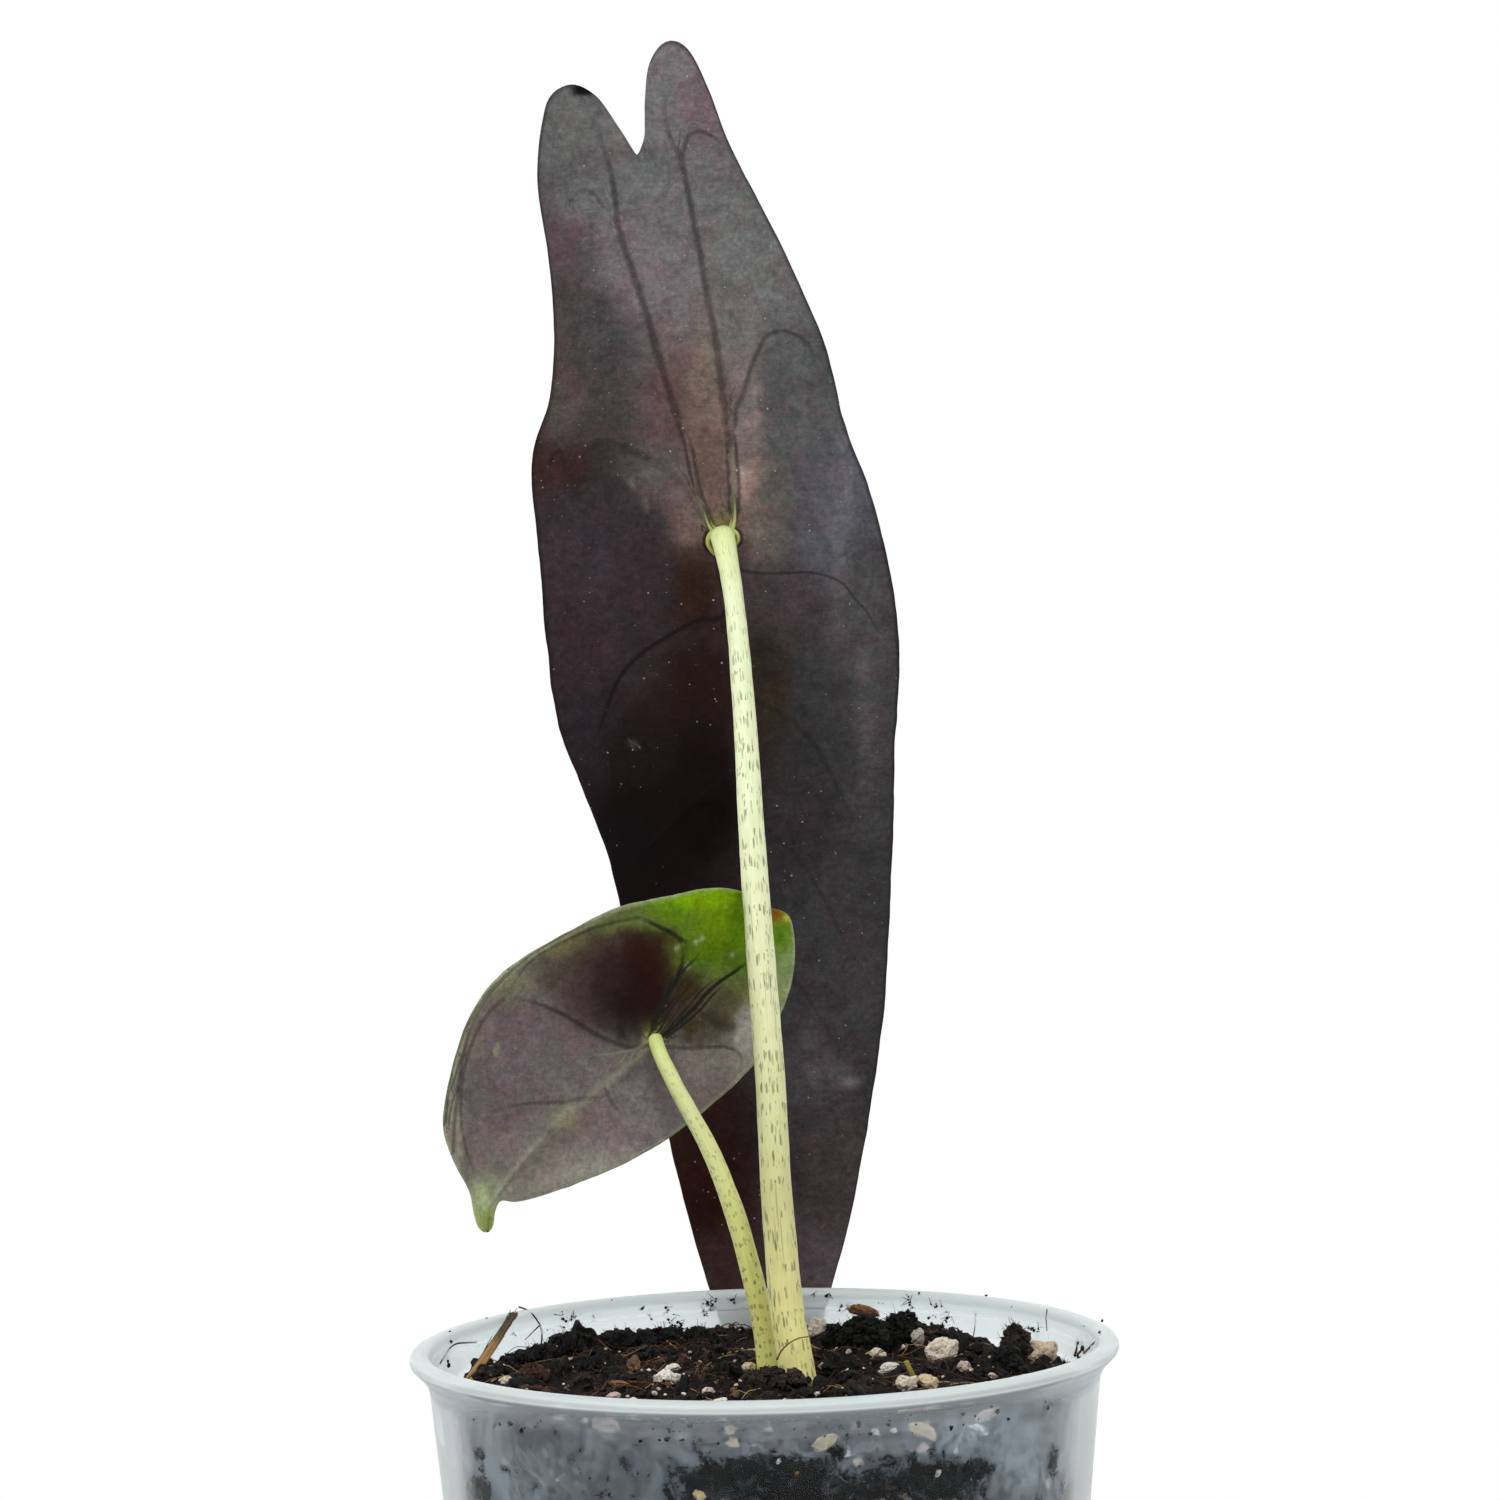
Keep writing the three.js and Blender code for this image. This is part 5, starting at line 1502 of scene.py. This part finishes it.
def splinter():
    way = SPLINTER_HEAD - SPLINTER_FOOT
    length = np.linalg.norm(way)
    along = way / length
    across = np.cross(along, (0, 0, 1))
    across /= np.linalg.norm(across)
    up = np.cross(across, along)
    steps, sides = 90, 24
    turn = np.linspace(0, 2 * math.pi, sides, endpoint=False)
    circle = np.stack([np.cos(turn), np.sin(turn)], 1)
    box = np.sign(circle) * np.abs(circle) ** 0.5
    points, tone = [], []
    for k in range(steps + 1):
        share = k / steps
        local = np.stack([box[:, 0] * 1.5, box[:, 1] * 1.5, np.full(sides, share * 2.5)], 1)
        swell = 1 + 0.16 * rough(local + [0, 0, 9], 0.6, 37, 3)
        swell += 0.3 * share**3 * noise(local * [1, 1, 3], 0.5, 41)
        wide = 0.72 - 0.2 * share
        ends = np.clip(20 * (share - 0.94), 0, 1)
        jag = ends * 0.9 * (0.5 + noise(local * [2, 2, 0], 0.7, 43))
        ring = np.outer(box[:, 0] * wide * swell, across) + np.outer(box[:, 1] * 0.3 * swell, up)
        points.append(SPLINTER_FOOT + way * share - np.outer(jag, along) + ring)
        dark = np.clip((share - 0.45) / 0.3, 0, 1)
        shade = blend((142, 104, 52), (92, 66, 38), share) * (1 - dark) + srgb((52, 46, 30)) * dark
        # A painted highlight, stronger on one side of the splinter, laid over its own ochre to dark olive
        # colour.
        gleam = 0.4 + 1.6 * rough(local * [2.6, 2.6, 0.8], 0.7, 47, 2) + 0.55 * box[:, 0]
        gleam = np.clip(gleam, 0, 1)[:, None] ** 1.5
        tone.append(shade * (0.75 - 0.25 * gleam) + gleam * (1 - 0.7 * dark) * srgb((214, 168, 98)) * 0.55)
    faces = ring_faces(steps + 1, sides)
    node = ["straw_splinter"]
    piece("straw_splinter_skin", np.vstack(points), faces, STRAW, np.vstack(tone), replaces=node)
    slivers = []
    for start, end, side in ((0.62, 0.9, 0.55), (0.4, 0.66, -0.6), (0.8, 1.0, -0.45), (0.9, 1.02, 0.2)):
        root, tip = SPLINTER_FOOT + way * start, SPLINTER_FOOT + way * end
        middle = (root + tip) / 2
        line = [root + across * side * 0.8, middle + across * side + up * 0.3]
        line.append(tip + across * side * 1.15 + up * 0.42)
        slivers.append([line, 0.11, 0.04, (104, 78, 46), (62, 52, 36)])
    threads("straw_slivers", slivers, STRAW, 5, node)


splinter()

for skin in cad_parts["rhizome"].material_slots:
    skin.link = "OBJECT"
    skin.material = RHIZOME


# Each grain that shows through the wall is [px, py, width in pixels, height in pixels, colour].
PERLITE_BEHIND_WALL = [
    (603, 1424, 27, 17, PINK), (730, 1429, 14, 9, TAN), (733, 1443, 12, 10, TAN),
    (559, 1479, 9, 6, WHITE), (699, 1495, 13, 11, (220, 190, 140)), (826, 1444, 28, 14, (216, 196, 150)),
    (926, 1432, 29, 18, (224, 200, 160)), (923, 1447, 13, 13, PINK), (982, 1430, 20, 10, WHITE),
    (991, 1413, 26, 12, PINK), (876, 1431, 8, 7, WHITE), (894, 1430, 7, 6, WHITE),
    (859, 1462, 14, 10, TAN), (846, 1452, 10, 10, WHITE), (955, 1450, 8, 8, WHITE),
    (1047, 1483, 10, 8, WHITE), (777, 1461, 7, 7, WHITE), (938, 1473, 9, 6, WHITE),
]


def behind_wall(x, y, z):
    return math.hypot(x, y) < inner_radius(z) - 0.25


def perlite():
    stack = list(GRAINS)
    for px, py, wide, tall, tone in PERLITE_BEHIND_WALL:
        place = first_hit(px, py, behind_wall, -50, 0)
        scale = (place[1] - CAMERA_Y) / FOCAL
        size = np.array([0.5 * wide, 0.3 * wide, 0.5 * tall]) * scale
        outward = place[:2] / np.linalg.norm(place[:2])
        place = place - [*(outward * size[1]), 0]
        stack.append((place, size, tone, 3))
    x, y = scattered(60, 34)
    for i in range(len(x)):
        if y[i] > -16:
            continue
        size = rng.uniform(0.4, 1.1) * np.array([1, 0.8, 0.7])
        place = np.array([x[i], y[i], mix_height(x[i], y[i]) + 0.4 * size[2]])
        stack.append((place, size, [WHITE, CREAM, PINK][i % 3], 2))
    x, y = scattered(120)
    for i in range(len(x)):
        if math.hypot(x[i] - 3, y[i] - 2) > 6:
            size = rng.uniform(0.12, 0.32) * np.array([1, 0.8, 0.7])
            place = np.array([x[i], y[i], mix_height(x[i], y[i]) + 0.9])
            stack.append((place, size, [WHITE, TAN, PINK][i % 3], 1))
    for i in range(90):
        turn, z = rng.uniform(0, 2 * math.pi), rng.uniform(5, 73)
        if math.sin(turn) < -0.15 and z > 58:
            continue
        size = (0.4 + 1.4 * rng.uniform() ** 2) * rng.uniform([0.7, 0.7, 0.5], [1.3, 1.2, 1.1])
        r = inner_radius(z) - rng.uniform(0.1, 0.9) - size[0]
        place = np.array([r * math.cos(turn), r * math.sin(turn), z])
        stack.append((place, size, [WHITE, CREAM, TAN][i % 3], 2))
    parts = []
    for i, (place, size, colour, levels) in enumerate(stack):
        shape, triangles = ball(levels)
        swell = 1 + 0.3 * rough(shape + 9 * i, 0.9, 17, 3)[:, None]
        tilt = Matrix.Rotation(0.5 * math.sin(3.1 * i), 3, "Y")
        body = (shape * swell * size) @ np.array(tilt)
        shade = np.tile(srgb(colour), (len(shape), 1)) * rng.uniform(0.9, 1.05)
        parts.append((place + body, triangles, shade))
    points, faces, tone = joined(parts)
    piece("perlite", points, faces, PERLITE, tone)


perlite()


def loose_fibres(count):
    lines = []
    palette = [(28, 22, 18), (72, 50, 36), (116, 86, 57), (172, 148, 110)]
    for _ in range(count):
        x, y = (v[0] for v in scattered(1, EDGE - 3))
        turn, length = rng.uniform(0, 2 * math.pi), rng.uniform(2, 9)
        bend, places = rng.normal(0, 0.35), []
        for k in range(5):
            if math.hypot(x, y) > EDGE:
                break
            lift = 0.5 + 0.6 * math.sin(math.pi * k / 4) * rng.uniform(0, 1)
            places.append([x, y, mix_height(x, y) + lift])
            turn += bend
            x, y = x + length / 4 * math.cos(turn), y + length / 4 * math.sin(turn)
        if len(places) > 2:
            thick = rng.uniform(0.04, 0.1)
            colour = palette[rng.choice(4, p=[0.44, 0.3, 0.18, 0.08])]
            lines.append([places, thick, 0.5 * thick, colour, colour])
    return lines


threads("mix_fibres", loose_fibres(750), FIBRE, 4, (), 2)

# Floor and light

floor_look = Look("floor")
radius = floor_look.add("VectorMath", {0: floor_look.add("TexCoord").outputs["Object"]}, operation="LENGTH")
fade = floor_look.fit(radius.outputs["Value"], 0.09, 0.3)
floor_look.set(Base_Color=(0.86, 0.87, 0.88, 1), Roughness=0.7, Specular_IOR_Level=0.2)
glow = floor_look.add("Emission", {"Color": (1, 1, 1, 1), "Strength": 1.0})
blended = floor_look.add("MixShader", {0: fade, 1: floor_look.shader.outputs[0], 2: glow.outputs[0]})
floor_look.tree.links.new(blended.outputs[0], floor_look.output.inputs["Surface"])
floor_mesh = bpy.data.meshes.new("floor")
FLOOR_REACH = 3.0  # in metres
corners = [(FLOOR_REACH * x, FLOOR_REACH * y, 0) for x, y in ((-1, -1), (1, -1), (1, 1), (-1, 1))]
floor_mesh.from_pydata(corners, [], [(0, 1, 2, 3)])
floor_mesh.materials.append(floor_look.material)
floor = bpy.data.objects.new("floor", floor_mesh)
bpy.context.scene.collection.objects.link(floor)

world = bpy.data.worlds.new("studio")
world.use_nodes = True
sky = world.node_tree
way = sky.nodes.new("ShaderNodeTexCoord")
split = sky.nodes.new("ShaderNodeSeparateXYZ")
front_dim = sky.nodes.new("ShaderNodeMapRange")
eye = sky.nodes.new("ShaderNodeLightPath")
brightest = sky.nodes.new("ShaderNodeMath")
brightest.operation = "MAXIMUM"
sky.links.new(way.outputs["Generated"], split.inputs[0])
sky.links.new(split.outputs["Y"], front_dim.inputs["Value"])
for key, value in (("From Min", -0.75), ("From Max", 0.35), ("To Min", 0.22), ("To Max", 1.0)):
    front_dim.inputs[key].default_value = value
sky.links.new(front_dim.outputs[0], brightest.inputs[0])
sky.links.new(eye.outputs["Is Camera Ray"], brightest.inputs[1])
background = sky.nodes["Background"]
background.inputs["Color"].default_value = (1, 1, 1, 1)
sky.links.new(brightest.outputs[0], background.inputs["Strength"])
bpy.context.scene.world = world
bpy.context.scene.view_settings.view_transform = "Standard"


def softbox(name, place, aim, size, power):
    data = bpy.data.lights.new(name, "AREA")
    data.shape = "DISK"
    data.size = size
    data.energy = power
    lamp = bpy.data.objects.new(name, data)
    turn = (Vector(aim) - Vector(place)).to_track_quat("-Z", "Y")
    lamp.matrix_world = Matrix.Translation(place) @ turn.to_matrix().to_4x4()
    bpy.context.scene.collection.objects.link(lamp)


softbox("key", (-0.35, -0.55, 0.75), (0, 0, 0.12), 0.6, 4.8)
softbox("fill", (0.5, -0.7, 0.35), (0, 0, 0.12), 0.5, 1.9)
